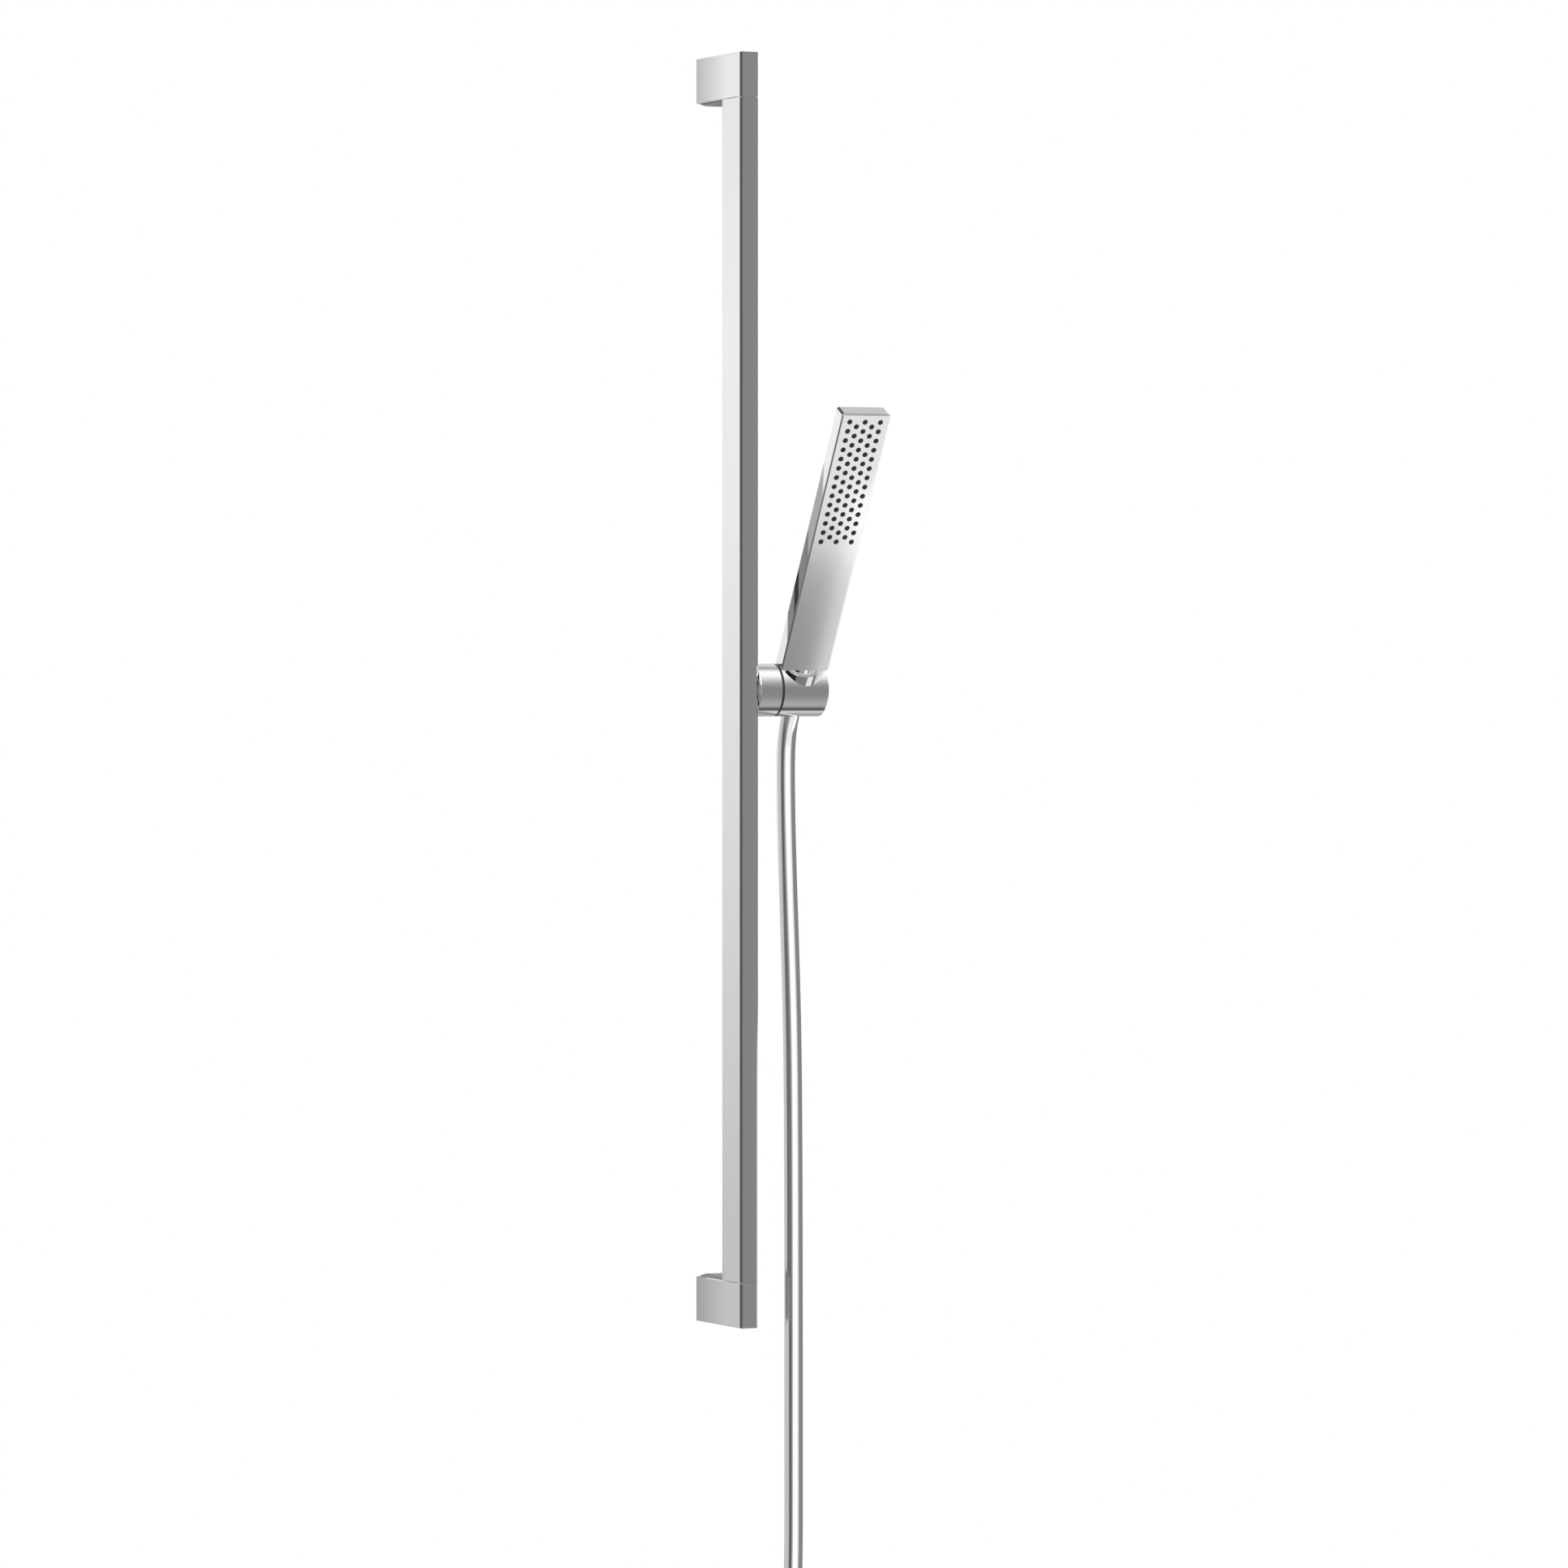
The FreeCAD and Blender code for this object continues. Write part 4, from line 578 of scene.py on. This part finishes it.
# Conical nut: a chromed brass nut that joins the hose to the hand shower. It wedges in the
# holder's liner, and its mouth takes the hand shower's threaded inlet.
NUT_LOW = 0.017
NUT_HIGH = 0.0185
NUT_LOW_RADIUS = 0.0095
NUT_HIGH_RADIUS = 0.0125
NUT_ROUND = 0.0005
NUT_MOUTH = 0.0105
NUT_BORE = 0.008
NUT_THREAD_DEPTH = 0.015
NUT_WEB = 0.0002
ON_AXIS = 0.001
bpy.ops.mesh.primitive_cone_add(vertices=BORE_STEPS, radius1=NUT_LOW_RADIUS, radius2=NUT_HIGH_RADIUS,
                                depth=NUT_LOW + NUT_HIGH, location=(0, 0, (NUT_HIGH - NUT_LOW) / 2))
nut = bpy.context.object
apply_place()
edit(nut)
pick(nut, "FACE", lambda co, way: abs(way.z) > FACING)
bpy.ops.mesh.bevel(offset=NUT_ROUND, segments=3, affect="EDGES")
for end, rim, bore, depth in ((1, NUT_HIGH_RADIUS, NUT_MOUTH, NUT_THREAD_DEPTH),
                              (-1, NUT_LOW_RADIUS, NUT_BORE, NUT_LOW + NUT_HIGH - NUT_THREAD_DEPTH)):
    pick(nut, "FACE", lambda co, way: way.z * end > FACING and co.xy.length < ON_AXIS)
    bpy.ops.mesh.inset(thickness=rim - NUT_ROUND - bore)
    extrude(0, 0, -end * (depth - NUT_WEB / 2))
done()
seat_in_bore(nut)
soft_chrome = finish("soft_chrome", colour=(0.57, 0.57, 0.58), metallic=1, roughness=0.06)
settle(nut, "conical_nut", soft_chrome, "holder")
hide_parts("cone_nut")

# Hand shower: a flat chromed bar with small rounds along its edges, moulded in plastic and plated.
# It is hollow and open at the front, where the spray face closes it.
HANDSET_WIDTH = 0.039
HANDSET_THICKNESS = 0.0125
HANDSET_BOTTOM = 0.0201
HANDSET_TOP = 0.2384
HANDSET_CORNER = 0.0018
HANDSET_EDGE = 0.0011
HANDSET_WALL = 0.0018
FACE_THICKNESS = 0.0015
half_thick = HANDSET_THICKNESS / 2
plating = finish("chromed_plastic", colour=(0.87, 0.87, 0.88), metallic=1, roughness=0.035)


def flat_bar(back, front):
    """A slab of the hand shower's outline, between two depths, with its four corners rounded."""
    slab = block((0, (back + front) / 2, (HANDSET_TOP + HANDSET_BOTTOM) / 2),
                 (HANDSET_WIDTH, back - front, HANDSET_TOP - HANDSET_BOTTOM))
    edit(slab)
    pick(slab, "EDGE", lambda co, way: near(abs(way.y), 1))
    bpy.ops.mesh.bevel(offset=HANDSET_CORNER, segments=6, affect="EDGES")
    return slab


body = flat_bar(half_thick, FACE_THICKNESS - half_thick)
pick(body, "FACE", lambda co, way: way.y > FACING)
bpy.ops.mesh.bevel(offset=HANDSET_EDGE, segments=5, affect="EDGES")
pick(body, "FACE", lambda co, way: way.y < -FACING)
bpy.ops.mesh.inset(thickness=HANDSET_WALL)
extrude(0, HANDSET_THICKNESS - FACE_THICKNESS - HANDSET_WALL, 0)
done()
seat_in_bore(body)
settle(body, "hand_shower_body", plating, "holder")
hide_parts("handset_body")

# Spray face: the satin plated front plate, drilled for sixty-eight nozzles in rows of three and
# two. Two soft panels stand where it mirrors the camera's view.
NOZZLE_RADIUS = 0.0020
NOZZLE_PLAY = 0.00012
NOZZLE_PROUD = 0.0004
NOZZLE_COLUMN = 0.0125
NOZZLE_ROW = 0.00777
NOZZLE_ROWS = 14
NOZZLE_TOP = 0.2319
DRILL_LENGTH = 4 * FACE_THICKNESS
DRILL_STEPS = 32
PLATE_PANELS = ({"away": 0.3, "aside": 0.0, "above": 0.15, "width": 0.5, "height": 0.3,
                 "level": 1.0},
                {"away": 0.12, "aside": 0.105, "above": -0.05, "width": 0.2, "height": 0.2,
                 "level": 0.75})
nozzles = []
for row in range(2 * NOZZLE_ROWS - 1):
    columns = (-1, 0, 1) if row % 2 == 0 else (-0.5, 0.5)
    nozzles += [(column * NOZZLE_COLUMN, NOZZLE_TOP - row * NOZZLE_ROW / 2) for column in columns]
first_across, first_up = nozzles[0]
plate = flat_bar(FACE_THICKNESS - half_thick, -half_thick)
pick(plate, "FACE", lambda co, way: way.y < -FACING)
bpy.ops.mesh.bevel(offset=HANDSET_EDGE, segments=5, affect="EDGES")
done()


def at_each_nozzle(first):
    """Copy a piece made at the first nozzle to all of them, and join the copies into one."""
    copies = [first]
    for across, up in nozzles[1:]:
        twin = first.copy()
        twin.data = first.data.copy()
        twin.location = (across - first_across, 0, up - first_up)
        bpy.context.scene.collection.objects.link(twin)
        copies.append(twin)
    choose(*copies)
    bpy.ops.object.join()
    return bpy.context.object


bpy.ops.mesh.primitive_cylinder_add(vertices=DRILL_STEPS, radius=NOZZLE_RADIUS + NOZZLE_PLAY,
                                    depth=DRILL_LENGTH, location=(first_across, -half_thick, first_up),
                                    rotation=(math.radians(90), 0, 0))
apply_place()
cut_away(plate, at_each_nozzle(bpy.context.object))
seat_in_bore(plate)
satin = finish("satin_plate", colour=(0.5, 0.5, 0.51), metallic=1, roughness=0.24)
settle(plate, "front_plate", satin, "holder", smooth=30)
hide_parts("spray_face")


def soft_panel(name, centre, facing, upright, width, height, level, lit):
    """A soft panel of light that reaches the lit pieces alone, and that no camera sees."""
    bpy.ops.object.light_add(type="AREA", location=centre)
    lamp = bpy.context.object
    lamp.name = name
    lamp.data.shape = "RECTANGLE"
    lamp.data.size = width
    lamp.data.size_y = height
    lamp.data.energy = level * math.pi * width * height
    lamp.visible_camera = False
    out = -facing.normalized()
    top = (upright - upright.dot(out) * out).normalized()
    lamp.rotation_euler = Matrix((top.cross(out), top, out)).transposed().to_euler()
    lit_pieces = bpy.data.collections.new(name)
    for piece in lit:
        lit_pieces.objects.link(piece)
    lamp.light_linking.receiver_collection = lit_pieces


view = Vector((math.sin(VIEW_TURN), math.cos(VIEW_TURN), 0))
out_of_plate = Vector((0, -math.cos(REST_TILT), -math.sin(REST_TILT)))
up_plate = Vector((0, -math.sin(REST_TILT), math.cos(REST_TILT)))
mirrored_view = view - 2 * out_of_plate * out_of_plate.dot(view)
plate_centre = bore_place + up_plate * (HANDSET_TOP + HANDSET_BOTTOM) / 2
panel_up = (up_plate - up_plate.dot(mirrored_view) * mirrored_view).normalized()
panel_aside = panel_up.cross(mirrored_view)
for index, panel in enumerate(PLATE_PANELS):
    panel_centre = (plate_centre + mirrored_view * panel["away"] + panel_aside * panel["aside"]
                    + panel_up * panel["above"])
    soft_panel("plate_panel_%d" % index, panel_centre, -mirrored_view, panel_up,
               panel["width"], panel["height"], panel["level"], [plate])

# Nozzles: one dark silicone mat behind the plate. Each nozzle is a short soft tube whose tip
# stands a little proud, with a rounded rim and a fine outlet.
OUTLET_RADIUS = 0.0006
OUTLET_DEPTH = 0.0008
TIP_ROUND = 0.00035
TIP_STEPS = 20
MAT_DEPTH = 0.0012
MAT_MARGIN = 0.004
MAT_CORNER = 0.0024
sheet_front = FACE_THICKNESS - half_thick
tip = -half_thick - NOZZLE_PROUD
bpy.ops.mesh.primitive_cylinder_add(vertices=TIP_STEPS, radius=NOZZLE_RADIUS, depth=sheet_front - tip,
                                    location=(first_across, (sheet_front + tip) / 2, first_up),
                                    rotation=(math.radians(90), 0, 0))
nozzle = bpy.context.object
apply_place()
edit(nozzle)
pick(nozzle, "FACE", lambda co, way: way.y < -FACING)
bpy.ops.mesh.bevel(offset=TIP_ROUND, segments=2, affect="EDGES")
pick(nozzle, "FACE", lambda co, way: way.y < -FACING)
bpy.ops.mesh.inset(thickness=NOZZLE_RADIUS - TIP_ROUND - OUTLET_RADIUS)
extrude(0, OUTLET_DEPTH, 0)
done()
tubes = at_each_nozzle(nozzle)
field_bottom = NOZZLE_TOP - (NOZZLE_ROWS - 1) * NOZZLE_ROW
mat = block((0, sheet_front + MAT_DEPTH / 2, (NOZZLE_TOP + field_bottom) / 2),
            (2 * (NOZZLE_COLUMN + MAT_MARGIN), MAT_DEPTH, NOZZLE_TOP - field_bottom + 2 * MAT_MARGIN))
edit(mat)
pick(mat, "EDGE", lambda co, way: near(abs(way.y), 1))
bpy.ops.mesh.bevel(offset=MAT_CORNER, segments=4, affect="EDGES")
done()
choose(mat, tubes)
bpy.ops.object.join()
silicone = finish("dark_silicone", colour=(0.018, 0.018, 0.02), metallic=0, roughness=0.5, wear=0.1)
seat_in_bore(mat)
settle(mat, "nozzles", silicone, "holder")
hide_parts("nozzle_mat")

# Small fittings that keep their CAD shape: steel screws, springs and plates, brass tails, and
# moulded parts. Most are inside, and a few show at the wall, in the bore or at the hose's end.
steel = finish("zinc_steel", colour=(0.60, 0.60, 0.61), metallic=1, roughness=0.28, wear=0.12)
brass = finish("turned_brass", colour=(0.72, 0.55, 0.30), metallic=1, roughness=0.25, wear=0.1)
grey = finish("grey_plastic", colour=(0.30, 0.30, 0.31), metallic=0, roughness=0.4, wear=0.1)
charcoal = finish("charcoal_plastic", colour=(0.15, 0.15, 0.155), metallic=0, roughness=0.45, wear=0.1)
dark = finish("dark_plastic", colour=(0.03, 0.03, 0.032), metallic=0, roughness=0.4, wear=0.1)
CARRIED_OVER = {
    chrome: ("hose_supply_nut", "handset_inlet"),
    steel: ("upper_wall_plate", "lower_wall_plate", "upper_grub_screw", "lower_grub_screw",
            "upper_insert_screw", "lower_insert_screw", "brake_spring", "upper_carrier_screw",
            "lower_carrier_screw", "retaining_clip", "spring_washer", "tilt_screw"),
    brass: ("hose_top_sleeve", "hose_supply_sleeve"),
    grey: ("upper_bracket_cover", "lower_bracket_cover", "inlet_filter", "water_tray"),
    charcoal: ("slider_carrier", "slider_runner"),
    dark: ("upper_bar_insert", "lower_bar_insert", "joint_ring", "friction_disc", "holder_liner"),
    silicone: ("hose_top_gasket", "hose_supply_gasket", "hose_tie"),
}
for material, names in CARRIED_OVER.items():
    for name in names:
        frame["nodes"][name].data.materials.clear()
        frame["nodes"][name].data.materials.append(material)

# Hose: a smooth silver shower hose of 14 mm, crimped on a sleeve inside the conical nut. It hangs
# down beside the rail, veers aside below it and is tied up in a coil of a turn and a half. It is
# drawn a hair thin, to stay within its solid.
HOSE_RADIUS = 0.007
HOSE_THINNER = 0.00002
HOSE_X = 0.0464
HOSE_POINTS = [(-0.0575, -0.0104), (-0.0515, -0.0208), (-0.0474, -0.0321), (-0.045, -0.0459),
               (-0.0446, -0.066), (-0.0456, -0.1), (-0.0488, -0.15), (-0.0532, -0.205),
               (-0.0566, -0.262), (-0.0581, -0.33), (-0.0588, -0.43), (-0.0589, -0.56),
               (-0.0589, -0.683)]
VEER = math.radians(15)
VEER_RUN = 0.022
VEER_EASE = 0.6
COIL_RADIUS = 0.082
COIL_SPACING = 0.0142
COIL_TURN = math.radians(552.55)
CHANGE = (math.radians(240), math.radians(300))
STEP = math.radians(15)
TAIL = 0.05
points = [Vector((HOSE_X, y, z)) for y, z in HOSE_POINTS]
for turn in (VEER, 2 * VEER):
    points.append(points[-1] + Vector((-math.sin(turn), 0, -math.cos(turn))) * VEER_RUN)
entry = math.pi - 2 * VEER
coil_start = points.pop()
coil_centre = coil_start - Vector((math.cos(entry), 0, math.sin(entry))) * COIL_RADIUS
points.append(points[-1] + (coil_start - points[-1]) * VEER_EASE)
steps = round(COIL_TURN / STEP)
step = COIL_TURN / steps
reach = COIL_RADIUS / math.cos(step / 2)
for index in range(steps):
    turn = (index + 0.5) * step
    share = min(max((turn - CHANGE[0]) / (CHANGE[1] - CHANGE[0]), 0), 1)
    forward = COIL_SPACING * share * share * (3 - 2 * share)
    points.append(coil_centre + Vector((reach * math.cos(entry + turn), -forward,
                                        reach * math.sin(entry + turn))))
last = entry + COIL_TURN
coil_end = coil_centre + Vector((COIL_RADIUS * math.cos(last), -COIL_SPACING,
                                 COIL_RADIUS * math.sin(last)))
tail_way = Vector((-math.sin(last), 0, math.cos(last)))
points.append(coil_end + tail_way * TAIL / 2)
points.append(coil_end + tail_way * TAIL)
line = bpy.data.curves.new("hose", "CURVE")
line.dimensions = "3D"
spline = line.splines.new("NURBS")
spline.points.add(len(points) - 1)
for knot, point in zip(spline.points, points):
    knot.co = (*point, 1)
spline.order_u = 3
spline.use_endpoint_u = True
spline.resolution_u = 8
line.bevel_depth = HOSE_RADIUS - HOSE_THINNER
line.bevel_resolution = 8
line.use_fill_caps = True
hose = bpy.data.objects.new("hose", line)
bpy.context.scene.collection.objects.link(hose)
line.materials.append(finish("silver_hose", colour=(0.8, 0.8, 0.81), metallic=1, roughness=0.16))
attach(hose, "slider")
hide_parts("hose_tube", "hose_coil")

# Last lights: one soft panel gives the hose its light stripe, and one fills the drum's open end.
# The room of panels stands for what the chrome mirrors, so the pieces and fittings that would
# cross it leave no mirror image of their own.
HOSE_PANEL_TURN = math.radians(4)
HOSE_MIDDLE = Vector((HOSE_X, -0.06, -0.4))
UPRIGHT = Vector((0, 0, 1))
UNMIRRORED_FITTINGS = ("water_tray", "handset_inlet", "inlet_filter", "holder_liner", "hose_top_gasket",
                       "hose_top_sleeve")
toward = Vector((math.sin(HOSE_PANEL_TURN), -math.cos(HOSE_PANEL_TURN), 0))
soft_panel("hose_panel", HOSE_MIDDLE + toward, -toward, UPRIGHT, width=1.55, height=2.4, level=0.7,
           lit=[hose])
soft_panel("carrier_panel", drum_middle - view, view, UPRIGHT, width=0.3, height=0.3, level=60,
           lit=[frame["nodes"]["slider_carrier"], frame["nodes"]["retaining_clip"]])
for piece in (body, plate, mat, holder, nut):
    piece.visible_glossy = False
for name in UNMIRRORED_FITTINGS:
    frame["nodes"][name].visible_glossy = False
